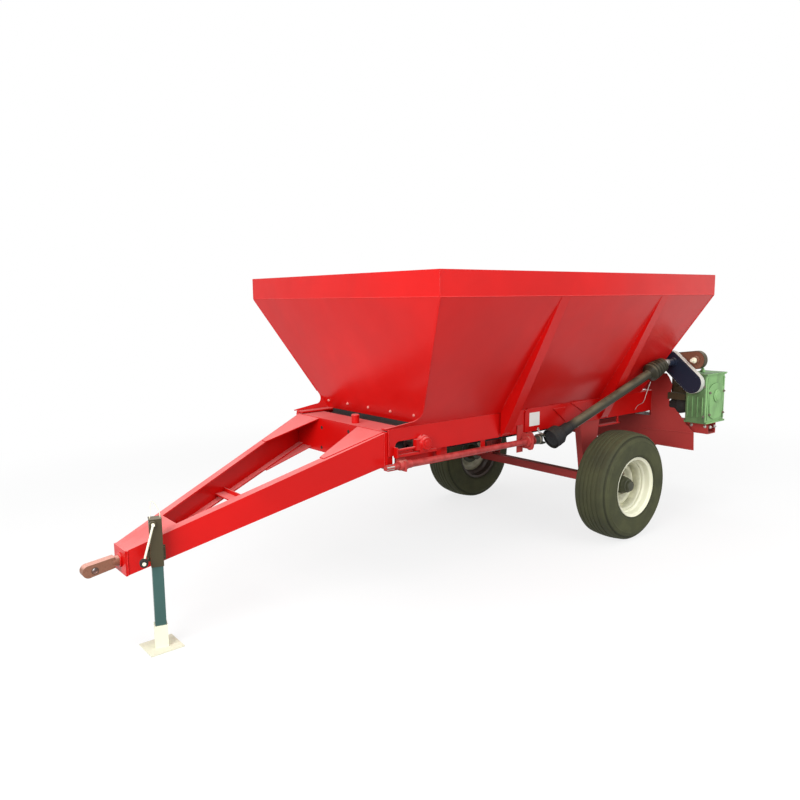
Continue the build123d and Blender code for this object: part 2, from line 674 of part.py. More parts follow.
def build_wheel(side, sign):
    """Hub, dished steel wheel and tyre, turned about the axle; sign is +1 on the left."""
    centre = (axle_x, sign * track / 2, wheel_radius)
    half, w = rim_width / 2, tyre_width / 2
    outward = sign

    def turned(profile):
        return turned_y([(r, outward * v) for r, v in profile], centre)

    bore = stub_radius + pivot_clearance
    inner_end = disc_offset - hub_length / 2
    outer_end = disc_offset + hub_length / 2
    hub = turned([(bore, inner_end), (hub_radius, inner_end), (hub_radius, disc_offset - 14),
                  (hub_flange_radius, disc_offset - 14), (hub_flange_radius, disc_offset),
                  (hub_radius - 6, disc_offset), (hub_radius - 12, outer_end - 20),
                  (hub_radius - 20, outer_end), (bore, outer_end)])
    nuts = []
    for i in range(stud_count):
        angle = 2 * math.pi * i / stud_count
        x = centre[0] + stud_circle_radius * math.cos(angle)
        z = centre[2] + stud_circle_radius * math.sin(angle)
        y0 = centre[1] + outward * (disc_offset - 1)
        y1 = centre[1] + outward * (disc_offset + disc_sheet + 20)
        nuts.append(bar((x, y0, z), (x, y1, z), 8))
    cap = turned([(0, outer_end), (30, outer_end), (26, outer_end + 22), (0, outer_end + 26)])
    add("hub_" + side, hub + nuts + cap)

    s, r, b = rim_sheet, rim_flange_radius, bead_radius
    well = b - 26
    barrel = turned([(b - s, -half), (r, -half), (r, -half + s), (b, -half + s), (b, -half + 45),
                     (well, -half + 65), (well, half - 85), (b, half - 60), (b, half - s), (r, half - s),
                     (r, half), (b - s, half), (b - s, half - 60), (well - s, half - 85 + s / 2),
                     (well - s, -half + 65 - s / 2), (b - s, -half + 45)])
    disc_y = disc_offset + seam
    disc = turned([(hub_radius + 1, disc_y), (112, disc_y), (132, disc_y + 22), (well - s - 1, disc_y + 6),
                   (well - s / 2, disc_y + 6), (well - s / 2, disc_y + 6 + disc_sheet),
                   (128, disc_y + 22 + disc_sheet), (106, disc_y + disc_sheet),
                   (hub_radius + 1, disc_y + disc_sheet)])
    for i in range(stud_count):
        angle = 2 * math.pi * i / stud_count
        x = centre[0] + stud_circle_radius * math.cos(angle)
        z = centre[2] + stud_circle_radius * math.sin(angle)
        y = centre[1] + outward * disc_offset
        disc -= bar((x, y - 60, z), (x, y + 60, z), 8 + seam)
    add("wheel_rim_" + side, barrel + disc)

    bead = b + seam
    inside = half - s - seam
    crown = wheel_radius
    cheek, shoulder = crown - 87.5, crown - 37.5
    tyre = turned([(bead, -inside), (r + 4, -inside), (r + 6, -w + 10), (r + 40, -w), (cheek, -w),
                   (shoulder, -w + 14), (crown - 10, -w + 38), (crown, -w + 60),
                   (crown, w - 60), (crown - 10, w - 38), (shoulder, w - 14), (cheek, w),
                   (r + 40, w), (r + 6, w - 10), (r + 4, inside), (bead, inside), (bead, inside - 20),
                   (r + 26, w - 22), (cheek, w - 20), (shoulder - 5, w - 34), (crown - 26, w - 66),
                   (crown - 26, -w + 66), (shoulder - 5, -w + 34), (cheek, -w + 20), (r + 26, -w + 22),
                   (bead, -inside + 20)])
    add("tyre_" + side, tyre)


# ---------------------------------------------------------------- belt floor
def drum(x, z):
    """A steel drum: a tube with two pierced end discs."""
    w = drum_half_length
    shell = bar((x, -w, z), (x, w, z), drum_radius, drum_radius - drum_wall)
    for end in (-w + 10, w - 22):
        disc = bar((x, end, z), (x, end + 12, z), drum_radius - 1)
        for i in range(4):
            angle = math.radians(45 + 90 * i)
            px, pz = x + 52 * math.cos(angle), z + 52 * math.sin(angle)
            disc -= bar((px, end - 1, pz), (px, end + 13, pz), 16)
        shell += disc
    return shell


def build_belt():
    """Belt round two drums; the front drum's bearings slide in the side plates to tighten it."""
    (xf, zf), (xr, zr) = drum_front, drum_rear
    angle = math.degrees(math.atan2(zr - zf, xf - xr))
    length = math.hypot(xf - xr, zr - zf)
    place = Pos((xf + xr) / 2, 0, (zf + zr) / 2) * Rot(0, angle, 0) * Rot(90, 0, 0)
    outer, inner = belt_reach, drum_radius + seam
    loop = SlotCenterToCenter(length, 2 * outer) - SlotCenterToCenter(length, 2 * inner)
    add("floor_belt", place * extrude(loop, amount=belt_half_width, both=True))

    r = drum_shaft_radius
    y = plate_outer_y + 40
    add("drum_front", drum(xf, zf) + bar((xf, -y, zf), (xf, y, zf), r))
    rear = drum(xr, zr) + bar((xr, -y, zr), (xr, gearbox_y[0] + gearbox_wall, zr), r)
    rear += bar((xr, 700, zr), (xr, 830, zr), coupling_radius)
    add("drum_rear", rear)

    for sign in (1, -1):
        y0, y1 = sign * (plate_outer_y + seam), sign * (plate_outer_y + 34)
        block_x = xf + 1.45 * takeup_radius
        foot = zf - takeup_radius - 14
        housing = bar((xf, y0, zf), (xf, y1, zf), takeup_radius)
        housing += block((xf, block_x), (y0, y1), (zf - 0.75 * takeup_radius, zf + 0.6 * takeup_radius))
        housing += block((xf - 45, xf + 45), (y0, y1), (foot + 15, zf))
        housing -= bar((xf, -700, zf), (xf, 700, zf), r + seam)
        end = slot_x[1] + 1
        guide = block((xf - takeup_guide_rear, end + 12), (y0, sign * (plate_outer_y + 22)), (foot, foot + 16))
        middle = sign * (plate_outer_y + 17)
        screw = bar((block_x - 1, middle, zf - 20), (end + 1, middle, zf - 20), 9)
        anchor = block((end, end + 12), (y0, y1), (foot, zf))
        add("takeup_bearings", housing + guide + screw + anchor)
        seat = bar((xr, y0, zr), (xr, y1, zr), bearing_radius) - bar((xr, -700, zr), (xr, 700, zr), r + seam)
        add("rear_bearings", seat)


# ---------------------------------------------------------------- side driveline
def build_driveline():
    """Side shaft in two bearings, its coupling yoke, and the guarded universal shaft to the rear."""
    y, z, r = shaft_y, shaft_z, shaft_radius
    bore = bar((-200, y, z), (1600, y, z), r + pivot_clearance)
    web = rail_outer_y + seam
    size = bearing_block_radius
    hanger = (block((hanger_x, hanger_x + 60), (web, web + 8), (z - 86, rail_bottom_z + 60))
              + block((hanger_x, hanger_x + 8), (web, y + size + 12), (z - size - 26, z + size + 26))
              + bar((hanger_x - 20, y, z), (hanger_x + 28, y, z), size + 8))
    xb, under = front_bearing_x, rail_bottom_z - seam
    front = (block((xb - 60, xb + 10), (rail_outer_y - rail_flange, rail_outer_y + 7), (under - 8, under))
             + block((xb - 60, xb + 10), (rail_outer_y - 1, rail_outer_y + 7), (z - size, under))
             + block((xb, xb + 10), (rail_outer_y - 1, y + size + 8), (z - size - 6, z + size))
             + bar((xb - 22, y, z), (xb + 34, y, z), size))
    add("shaft_brackets", hanger - bore, front - bore)

    shaft = bar((shaft_rear_x, y, z), (shaft_front_x, y, z), r)
    collar = bar((front_bearing_x - 60, y, z), (front_bearing_x - 22 - seam, y, z), size - 3)
    stub = bar((shaft_front_x - 1, y, z), (shaft_front_x + input_stub_length, y, z), input_stub_radius)
    yoke = bar((55, y, z), (shaft_rear_x + 30, y, z), 33)
    ear = 12
    for sign in (1, -1):
        yoke += block((0, 60), (y - 24, y + 24), (z + sign * 22, z + sign * (22 + ear)))
    cross = bar((18, y, z - 34), (18, y, z + 34), 10)
    add("side_shaft", shaft + collar + stub + yoke + cross)

    joint = Vector(guard_joint_x, *input_axis)
    a = Vector(guard_front_x, y + guard_front_offset[0], z + guard_front_offset[1])
    way = (joint - a).normalized()
    b = joint - way * 30
    neck = a + way * bell_length
    tube_bore = guard_radius - guard_wall
    bell = cone(a, neck, bell_mouth_radius, bell_neck_radius)
    bell -= cone(a - way, neck - way * 6, bell_mouth_radius - 5, bell_neck_radius - 6)
    guard = bell + bar(neck, b, guard_radius) + bar(neck - way * 6, neck + way * 60, guard_radius + 10)
    for (s0, r0), (s1, r1) in zip(boot_profile, boot_profile[1:]):
        guard += cone(b - way * s0, b - way * s1, r0, r1)
    add("cardan_guard", guard - bar(neck - way * 20, b + way, tube_bore))
    inner = bar(neck - way * 60, joint, tube_bore - seam) + Pos(*joint) * Sphere(tube_bore + 2)
    inner += bar(joint, (joint.X - 26, joint.Y, joint.Z), tube_bore - seam)
    add("cardan_shaft", inner)


# ---------------------------------------------------------------- rear drive
def build_rear_drive():
    """Chain case, second chain cover and gearbox, on an outrigger from the left drop arm."""
    x0, x1 = case_front_x, case_front_x - case_thick
    case = stadium((case_upper, case_lower), case_radius, x1, x0)
    case += bar((x0 - 1, *input_axis), (x0 + 30, *input_axis), 36)
    case += bar((x0 + 29, *input_axis), (guard_joint_x - 26 - seam, *input_axis), 28)
    add("chain_case", case)
    cx0 = x1 - 10
    cover = stadium((cover_outer, cover_inner), cover_radius, cx0 - cover_thick, cx0)
    cover += bar((cx0 - 1, *case_upper), (x1 - seam, *case_upper), 45)
    cover += bar((cx0, *cover_outer), (cx0 + 26, *cover_outer), 24)
    add("chain_cover", cover)

    (y0, y1), (z0, z1) = gearbox_y, gearbox_z
    body = block((gearbox_rear_x, gearbox_front_x), (y0, y1), (z0 + 14, z1 - 12))
    body = fillet(body.edges().filter_by(Axis.Z), 14)
    lid = block((gearbox_rear_x - 6, gearbox_front_x + 4), (y0 - 4, y1 + 6), (z1 - 12, z1))
    foot = block((gearbox_rear_x - 6, gearbox_front_x), (y0 - 4, y1 + 6), (z0, z0 + 14))
    boss = bar((gearbox_front_x - 2, *case_lower), (x1 - seam, *case_lower), 52)
    w = gearbox_wall
    inside = block((gearbox_rear_x + w, gearbox_front_x - w), (y0 + w, y1 - w), (z0 + 20, z1 - 20))
    xr, zr = drum_rear
    shaft_hole = bar((xr, y0 - 10, zr), (xr, y0 + w + 1, zr), drum_shaft_radius + seam)
    add("gearbox", body + lid + foot + boss - inside - shaft_hole)

    end = y0 - seam
    add("coupling_guard", bar((xr, end - coupling_guard_length, zr), (xr, end, zr), coupling_guard_radius,
                              coupling_guard_radius - 8))

    xa, t = gearbox_front_x - 68, outrigger_sheet
    foot = z0 - outrigger_height
    outrigger = block((xa - outrigger_length, xa), (rail_outer_y + seam, y1 - 10), (foot, z0 - seam))
    outrigger -= block((xa - outrigger_length + t, xa - t), (0, y1 + 10), (foot + t, z0 - t - 2))
    add("gearbox_mount", outrigger)


# ---------------------------------------------------------------- spreading discs
def build_spreader():
    """Baffle in front of the discs, the frame that hangs from the rails, and both discs' gearboxes."""
    left = [(gearbox_y[0] + out, z) for out, z in baffle_outline]
    left += [(baffle_inner_y, baffle_outline[-1][1]), (baffle_step[0], baffle_outline[-1][1]), baffle_step,
             (plate_outer_y + seam, baffle_step[1]), (plate_outer_y + seam, baffle_notch_z)]
    right = [(-y, z) for y, z in reversed(left)]
    add("baffle", profile_yz(left + right, baffle_x - baffle_sheet, baffle_x))

    x0, x1 = drop_arm_x
    t = rear_tube
    arm = block((x0, x1), (rail_outer_y - 57, rail_outer_y), (rear_tube_z, rail_bottom_z - seam))
    arm -= block((x0 + 8, x1 - 8), (rail_outer_y - 58, rail_outer_y - 8), (rear_tube_z - 1, rail_bottom_z))
    add("drop_arms", arm, mirrored(arm))
    inner = rail_outer_y - 8 - seam
    cross = block((x0 + 8 + seam, x0 + 8 + seam + 56), (-inner, inner), (rear_tube_z, rear_tube_z + t))
    add("rear_cross_tube", cross)
    rear = spinner_x - 60
    for sign in (1, -1):
        y = sign * spinner_y
        add("spinner_arms", block((rear, x0 + 8), (y - 30, y + 30), (rear_tube_z, rear_tube_z + t)))
        box_top = spinner_disc_z - 22
        housing = block((spinner_x - 60, spinner_x + 60), (y - 55, y + 55),
                        (rear_tube_z + t + seam, box_top))
        housing += bar((spinner_x, y, box_top - 1), (spinner_x, y, box_top + 12), 40)
        housing -= bar((spinner_x, y, rear_tube_z), (spinner_x, y, 900), 15 + pivot_clearance)
        add("spinner_gearboxes", housing)
    y = spinner_y - 55 - seam
    z = (rear_tube_z + t + box_top) / 2
    add("spinner_cross_shaft", bar((spinner_x, -y, z), (spinner_x, y, z), 16))


def build_spinner(side, sign):
    """A disc with upright vanes on a short shaft."""
    y = sign * spinner_y
    disc = bar((spinner_x, y, spinner_disc_z), (spinner_x, y, spinner_disc_z + spinner_sheet), spinner_radius)
    disc += bar((spinner_x, y, spinner_disc_z - 9.7), (spinner_x, y, spinner_disc_z + 50), 38)
    disc += bar((spinner_x, y, spinner_disc_z - 90), (spinner_x, y, spinner_disc_z), 15)
    for i in range(vane_count):
        angle = 45 + 360 * i / vane_count
        vane = block((30, spinner_radius - 4), (-3, 3), (spinner_sheet - 1, spinner_sheet + vane_height))
        disc += Pos(spinner_x, y, spinner_disc_z) * Rot(0, 0, angle) * vane
    add("spinner_" + side, disc)


# ---------------------------------------------------------------- gate
def on_rear_wall(y, up, out):
    """A point on the rear wall: y across, up along the wall from its foot, out from its outer face."""
    tilt = math.hypot(1, rear_lean)
    x = mouth_rear_x - rear_lean * up / tilt - out / tilt
    z = mouth_z + up / tilt - out * rear_lean / tilt
    return (x, y, z)


def wall_block(y, up, out):
    """A box on the rear wall between low and high values of y, up and out."""
    (y0, y1), (u0, u1), (o0, o1) = y, up, out
    base = [on_rear_wall(y0, u0, o0), on_rear_wall(y1, u0, o0), on_rear_wall(y1, u1, o0),
            on_rear_wall(y0, u1, o0)]
    far = on_rear_wall(y0, u0, o1)
    return slab(base, tuple(b - a for a, b in zip(base[0], far)))


def build_gate():
    """Metering gate that slides up the rear wall between two guides, with its angle stiffener."""
    w, h, t = gate_half_width, gate_height, gate_sheet
    gate = wall_block((-w, w), (14, 14 + h), (seam, seam + t))
    gate += wall_block((-w + 40, w - 40), (h - 20, h - 12), (seam + t - 0.5, seam + t + 34))
    add("metering_gate", gate)
    for sign in (1, -1):
        inner, outer = sorted((sign * (w + 2), sign * (w + 40)))
        post = wall_block((inner, outer), (20, 2 * h - 20), (seam, seam + t + 2))
        lip_in, lip_out = sorted((sign * (w - 14), sign * (w + 40)))
        lip = wall_block((lip_in, lip_out), (20, 2 * h - 20), (seam + t + 2, seam + t + 6))
        add("gate_guides", post + lip)


# ---------------------------------------------------------------- stand the machine on the ground
def park_location():
    """Pitch the level machine nose up about its axle."""
    hinge = Pos(axle_x, 0, wheel_radius)
    back = Pos(-axle_x, 0, -wheel_radius)
    return hinge * Rot(0, -parked_pitch, 0) * back


def build_all():
    build_walls()
    build_band()
    build_ribs()
    build_chassis()
    build_drawbar()
    build_eye()
    build_jack()
    build_jack_leg()
    build_jack_foot()
    build_axle()
    build_wheel("left", 1)
    build_wheel("right", -1)
    build_belt()
    build_driveline()
    build_rear_drive()
    build_spreader()
    build_spinner("left", 1)
    build_spinner("right", -1)
    build_gate()


build_all()
parked = {name: [park_location() * s for s in solids] for name, solids in nodes.items()}
parked.update(ground_nodes)
boxes = [s.bounding_box() for solids in parked.values() for s in solids]
low_x, high_x = min(b.min.X for b in boxes), max(b.max.X for b in boxes)
low_y, high_y = min(b.min.Y for b in boxes), max(b.max.Y for b in boxes)
origin_shift = (-(low_x + high_x) / 2, -(low_y + high_y) / 2, 0)

os.makedirs("parts", exist_ok=True)
for name, solids in parked.items():
    placed = [Pos(*origin_shift) * s for s in solids]
    export_step(placed[0] if len(placed) == 1 else Compound(placed), f"parts/{name}.step")
print("nodes", len(parked), "length", high_x - low_x, "width", high_y - low_y, "shift", origin_shift)
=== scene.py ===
"""Looks of a trailed hopper manure spreader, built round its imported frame.

Lengths are metres. Shapes are worked out with the chassis level, x = 0 at the hopper's middle, y to the machine's left,
z up from the foot of the wheels. They are then turned with the machine, which parks nose up on its jack.
Sections of turned shapes list radius and distance along the axis in turn, in millimetres.
"""
import json
import math

import bmesh
import bpy
import numpy as np
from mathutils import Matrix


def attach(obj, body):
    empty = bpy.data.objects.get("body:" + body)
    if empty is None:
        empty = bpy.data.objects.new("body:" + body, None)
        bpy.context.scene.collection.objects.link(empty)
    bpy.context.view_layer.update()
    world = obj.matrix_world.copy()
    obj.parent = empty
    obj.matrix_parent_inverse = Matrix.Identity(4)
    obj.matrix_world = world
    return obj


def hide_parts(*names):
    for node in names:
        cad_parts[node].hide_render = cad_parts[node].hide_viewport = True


bl_info = {
    "name": "Manure Spreader",
    "version": (1, 0, 0),
    "blender": (4, 5, 0),
    "location": "View3D > Sidebar > Spreader",
    "description": "Paint, tyres, fasteners and drive details of a trailed manure spreader",
    "category": "Object",
}

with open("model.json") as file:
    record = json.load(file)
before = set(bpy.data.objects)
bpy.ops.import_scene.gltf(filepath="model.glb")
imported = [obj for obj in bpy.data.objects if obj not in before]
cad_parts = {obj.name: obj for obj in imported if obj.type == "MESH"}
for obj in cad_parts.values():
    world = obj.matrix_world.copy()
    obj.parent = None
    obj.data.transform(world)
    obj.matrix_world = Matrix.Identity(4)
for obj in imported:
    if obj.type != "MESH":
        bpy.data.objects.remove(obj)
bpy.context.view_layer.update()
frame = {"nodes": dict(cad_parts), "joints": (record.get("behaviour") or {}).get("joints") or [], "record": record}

# ---- places read from the frame
JOINTS = {joint["name"]: joint for joint in frame["joints"]}
LIFT = JOINTS["jack_lift"]["axis"]
PITCH = math.atan2(-LIFT[0], LIFT[2])
TURN = np.array([[math.cos(PITCH), 0, -math.sin(PITCH)], [0, 1, 0], [math.sin(PITCH), 0, math.cos(PITCH)]])
AXLE_X = -0.6355
AXLE = np.array(JOINTS["wheel_left_spin"]["pos_m"]) * (1, 0, 1)
AXLE_LEVEL = np.array([AXLE_X, 0.0, AXLE[2]])
X, Y, Z = np.eye(3)
FLIP = (1, -1, 1)
GAP = 0.0003  # space left between flat pieces that face each other


def park(points):
    """Turns level points nose up about the axle."""
    return AXLE + (np.asarray(points, float) - AXLE_LEVEL) @ TURN.T


def level(points):
    """Turns points of the parked machine back to the level one."""
    return AXLE_LEVEL + (np.asarray(points, float) - AXLE) @ TURN


def level_points(node):
    """The corners of a CAD node, turned back to the level machine."""
    mesh = frame["nodes"][node].data
    flat = np.zeros(len(mesh.vertices) * 3)
    mesh.vertices.foreach_get("co", flat)
    return level(flat.reshape(-1, 3))


def span(node):
    """Lowest and highest corner of a CAD node in the level machine."""
    points = level_points(node)
    return points.min(0), points.max(0)


def middle_of(node):
    """Middle of a CAD node's box in the level machine."""
    return sum(span(node)) / 2


def foot_edge(node):
    """The corners of a wall that lie along its lowest edge."""
    points = level_points(node)
    return points[points[:, 2] < points[:, 2].min() + 0.002]


BAND_LOW, BAND_HIGH = span("rim_band_left")
BAND_FRONT, BAND_REAR = span("rim_band_front")[1][0], span("rim_band_rear")[0][0]
MOUTH_Z = span("hopper_front_wall")[0][2]
MOUTH_Y = foot_edge("hopper_left_wall")[:, 1].max()
MOUTH_FRONT = foot_edge("hopper_front_wall")[:, 0].max()
MOUTH_REAR = foot_edge("hopper_rear_wall")[:, 0].min()
RAIL_LOW, RAIL_HIGH = span("rail_left")
PLATE_Y = span("side_plates_left")[1][1]
SHAFT = level(JOINTS["side_shaft_spin"]["pos_m"])
SWIVEL = level(JOINTS["hitch_eye_swivel"]["pos_m"])
EYE = level(next(m for m in frame["record"]["mounts"] if m["name"] == "towing_eye")["pos_m"])


# ---- surfaces
def unit(vectors):
    """Vectors scaled to length 1."""
    vectors = np.asarray(vectors, float)
    return vectors / np.linalg.norm(vectors, axis=-1, keepdims=True)


def hopper_wall(axis, sign, foot, rim):
    """For a wall that faces along an axis: gives the point of its outer face at a place along the wall and a
    height, moved out along its normal. The face goes straight from its foot to the rim's lower edge."""
    lean = (rim - foot) / (BAND_LOW[2] - MOUTH_Z)
    normal = sign * unit(np.insert([0, -lean], axis, 1))

    def on_wall(along, z, out=0.0):
        return np.insert(np.array([along, z], float), axis, foot + lean * (z - MOUTH_Z)) + out * normal
    return on_wall


on_side = hopper_wall(1, 1, MOUTH_Y, BAND_HIGH[1])
on_front = hopper_wall(0, 1, MOUTH_FRONT, BAND_FRONT)
on_rear = hopper_wall(0, -1, MOUTH_REAR, BAND_REAR)


def upright(direction):
    """Z, or X for a direction that is close to Z."""
    return Z if abs(unit(direction)[2]) < 0.9 else X


def across(direction):
    """Two directions that make a right-handed set with the given one."""
    direction = unit(direction)
    first = unit(np.cross(upright(direction), direction))
    return first, np.cross(direction, first)


def circle(count):
    """Equal angles round a full circle, in radians."""
    return np.radians(np.linspace(0, 360, count, endpoint=False))


def mm(*values):
    """Rows of two lengths in metres, from millimetres listed in turn."""
    return np.reshape(values, (-1, 2)) / 1000


def smooth_line(points, steps=8):
    """Catmull-Rom curve: each span is a cubic whose end slopes are half the chord of its neighbours."""
    p = np.asarray(points, float)
    p = np.vstack([2 * p[0] - p[1], p, 2 * p[-1] - p[-2]])
    t = np.linspace(0, 1, steps, endpoint=False)[:, None]
    a, b, c, d = p[:-3, None], p[1:-2, None], p[2:-1, None], p[3:, None]
    curve = 0.5 * (2 * b + (c - a) * t + (2 * a - 5 * b + 4 * c - d) * t ** 2 + (3 * b - a - 3 * c + d) * t ** 3)
    return np.vstack([curve.reshape(-1, p.shape[1]), p[-2]])


def arc(centre, radius, start, end, count=10):
    """Points (radius * cos, radius * sin) about a 2-D centre, angles in degrees; two radii make an ellipse."""
    a = np.radians(np.linspace(start, end, count))
    return np.array(centre) + np.array(radius) * np.stack([np.cos(a), np.sin(a)], 1)


def lobed_line(x, centre, radius, angle):
    """Points about a centre in y and z, all at one x: centre + radius * (cos, sin), for a radius per angle."""
    return np.stack([np.full_like(angle, x), centre[0] + radius * np.cos(angle),
                     centre[1] + radius * np.sin(angle)], 1)


class Shell:
    """Points and faces of one piece, gathered from several closed surfaces."""

    def __init__(self):
        self.points, self.blocks, self.count = [], [], 0

    def add(self, points, *blocks):
        points = np.asarray(points, float).reshape(-1, 3)
        self.points.append(points)
        self.blocks += [np.asarray(block) + self.count for block in blocks]
        self.count += len(points)
        return self

    def mirror(self):
        """Repeats everything so far on the machine's other side."""
        return self.add(np.vstack(self.points) * FLIP, *[block[:, ::-1] for block in self.blocks])

    def grid(self, points, wrap_rows=False):
        """Quads over rows of closed rings; unless the rows wrap, a face closes each end."""
        rows, columns = points.shape[:2]
        index = np.arange(rows * columns).reshape(rows, columns)
        down = np.roll(index, -1, 0) if wrap_rows else index[1:]
        top = index if wrap_rows else index[:-1]
        quads = np.stack([top, np.roll(top, -1, 1), np.roll(down, -1, 1), down], -1).reshape(-1, 4)
        ends = [] if wrap_rows else [index[:1, ::-1], index[-1:]]
        return self.add(points, quads, *ends)

    def lathe(self, centre, axis, profile, sides=48, closed=True):
        """A profile of (radius, distance along the axis) turned full circle: centre + axis * distance
        + radius * (cos * first + sin * second)."""
        profile = np.asarray(profile, float)
        first, second = across(axis)
        angle = circle(sides)[:, None]
        ring = np.cos(angle) * first + np.sin(angle) * second
        points = np.asarray(centre) + profile[:, 1, None, None] * unit(axis) + profile[:, 0, None, None] * ring[None]
        return self.grid(points, wrap_rows=closed)

    def ring(self, centre, axis, sides, *section):
        """A closed section turned full circle."""
        return self.lathe(centre, axis, mm(*section), sides)

    def plug(self, centre, axis, sides, *section):
        """A section that starts and ends near the axis, turned full circle."""
        return self.lathe(centre, axis, mm(*section), sides, closed=False)

    def disc(self, centre, axis, radius, height):
        """A flat round disc, sized in millimetres."""
        return self.plug(centre, axis, 20, .1, 0, radius, 0, radius, height, .1, height)

    def tube(self, path, radius, sides=10, closed=False, helper=Z):
        """A circle carried along a path: point + radius * (cos * normal + sin * binormal)."""
        path = np.asarray(path, float)
        ahead = unit(np.roll(path, -1, 0) - np.roll(path, 1, 0) if closed else np.gradient(path, axis=0))
        normal = unit(np.cross(ahead, helper))
        binormal = np.cross(ahead, normal)
        angle = circle(sides)[None, :, None]
        radius = np.broadcast_to(radius, len(path))[:, None, None]
        points = path[:, None] + radius * (np.cos(angle) * normal[:, None] + np.sin(angle) * binormal[:, None])
        return self.grid(points, wrap_rows=closed)

    def prism(self, outline, way):
        """A flat outline carried along a straight way, closed at both ends."""
        outline = np.asarray(outline, float)
        return self.grid(np.stack([outline, outline + np.asarray(way, float)]))

    def box(self, low, high):
        """A box between two corners."""
        (x0, y0, z0), (x1, y1, z1) = low, high
        return self.prism([(x0, y0, z0), (x1, y0, z0), (x1, y1, z0), (x0, y1, z0)], Z * (z1 - z0))

    def band(self, outline, outward, depth, thickness):
        """A strip along x that follows a closed outline: the outline and the same moved outwards."""
        way, outward = X * depth, outward * thickness
        return self.grid(np.stack([outline, outline + way, outline + way + outward, outline + outward]), True)

    def bolts(self, places, axis, size):
        """Hexagon heads on washers: rings of falling radius stacked along the axis, sized by the half width."""
        for place in np.atleast_2d(places):
            self.lathe(place, axis, [(size * 1.15, -0.001), (size * 1.15, size * 0.18)], 16, closed=False)
            self.lathe(place, axis, size * np.array([(1, 0.15), (1, 0.75), (0.8, 0.92)]), 6, closed=False)
            self.lathe(place, axis, size * np.array([(0.5, 0.6), (0.5, 1.35)]), 10, closed=False)
        return self

    def weld(self, start, end, radius, ripple=0.006):
        """A bead whose radius swells and shrinks along the seam: radius * (1 + 0.18 * sin)."""
        start, end = np.asarray(start, float), np.asarray(end, float)
        length = np.linalg.norm(end - start)
        t = np.linspace(0, 1, max(int(length / ripple * 4), 4))
        swell = radius * (1 + 0.18 * np.sin(2 * np.pi * t * length / ripple))
        swell[[0, -1]] = radius * 0.4
        return self.tube(start + t[:, None] * (end - start), swell, 6, helper=upright(end - start))

    def chain(self, path, pitch, wire=0.0022):
        """Oval links threaded along a path, every other one turned a quarter."""
        run = np.r_[0, np.cumsum(np.linalg.norm(np.diff(path, axis=0), axis=1))]
        count = int(run[-1] / pitch)
        at = (np.arange(count) + 0.5) * run[-1] / count
        centres = np.stack([np.interp(at, run, path[:, i]) for i in range(3)], 1)
        ahead = unit(np.gradient(centres, axis=0))
        side = unit(np.cross(ahead, Y if np.abs(ahead[:, 1]).max() < 0.9 else X))
        turned = np.cross(ahead, side)
        angle = circle(14)[:, None]
        for i, centre in enumerate(centres):
            wide, flat = (side[i], turned[i]) if i % 2 else (turned[i], side[i])
            loop = centre + pitch * (0.78 * np.cos(angle) * ahead[i] + 0.42 * np.sin(angle) * wide)
            self.tube(loop, wire, 6, closed=True, helper=flat)
        return self

    def piece(self, name, slot, finish=None, body="root", smooth=30, bevel=0.0, segments=2, replaces=()):
        """Makes the mesh object, parks it, ties it to its CAD body, and gives it the material of its finish, or of its
        record slot when no finish is given.
        """
        mesh = bpy.data.meshes.new(name)
        faces = [face for block in self.blocks for face in block.tolist()]
        mesh.from_pydata(park(np.vstack(self.points)).tolist(), [], faces)
        solid = bmesh.new()
        solid.from_mesh(mesh)
        bmesh.ops.recalc_face_normals(solid, faces=solid.faces)
        solid.to_mesh(mesh)
        solid.free()
        mesh.shade_smooth()
        mesh.set_sharp_from_angle(angle=math.radians(smooth))
        mesh.materials.append(paint(finish or slot))
        piece = bpy.data.objects.new(name, mesh)
        bpy.context.scene.collection.objects.link(piece)
        if bevel:
            edges = piece.modifiers.new("Bevel", "BEVEL")
            edges.width, edges.segments = bevel, segments
            edges.limit_method, edges.angle_limit = "ANGLE", math.radians(40)
        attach(piece, body)
        if replaces:
            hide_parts(*replaces)
        return piece


# ---- shader maths
def arithmetic(operation, swapped=False):
    """One step of arithmetic between a shader socket and a number or socket: a Math node."""
    def step(value, other):
        first, second = (other, value) if swapped else (value, other)
        return value.tree.node("Math", {0: first, 1: second}, operation=operation)
    return step


class Value:
    """A shader socket that takes part in arithmetic."""

    def __init__(self, tree, socket):
        self.tree, self.socket = tree, socket

    __add__, __radd__ = arithmetic("ADD"), arithmetic("ADD", True)
    __sub__, __rsub__ = arithmetic("SUBTRACT"), arithmetic("SUBTRACT", True)
    __mul__, __rmul__ = arithmetic("MULTIPLY"), arithmetic("MULTIPLY", True)
    __pow__, larger = arithmetic("POWER"), arithmetic("MAXIMUM")

    def ramp(self, low, high):
        """0 below low, 1 above high, and a smooth step between them."""
        return self.tree.node("MapRange", {0: self, 1: low, 2: high}, interpolation_type="SMOOTHSTEP")


class Tree:
    """The nodes of a material or a world."""

    def __init__(self, owner):
        owner.use_nodes = True
        self.nodes, self.links = owner.node_tree.nodes, owner.node_tree.links

    def node(self, kind, inputs=None, output=0, **settings):
        """Adds any shader node: its settings first, then the values or links of its sockets."""
        node = self.nodes.new("ShaderNode" + kind)
        for key, value in settings.items():
            setattr(node, key, value)
        for key, value in (inputs or {}).items():
            self.feed(node.inputs[key], value)
        return Value(self, node.outputs[output])

    def feed(self, socket, value):
        if isinstance(value, Value):
            self.links.new(value.socket, socket)
        else:
            socket.default_value = value

    def seen(self):
        """1 for camera, glossy and transmission rays, 0 for the rays that light the object."""
        camera, glossy, through = (self.node("LightPath", output="Is " + kind + " Ray")
                                   for kind in ("Camera", "Glossy", "Transmission"))
        return camera.larger(glossy).larger(through)


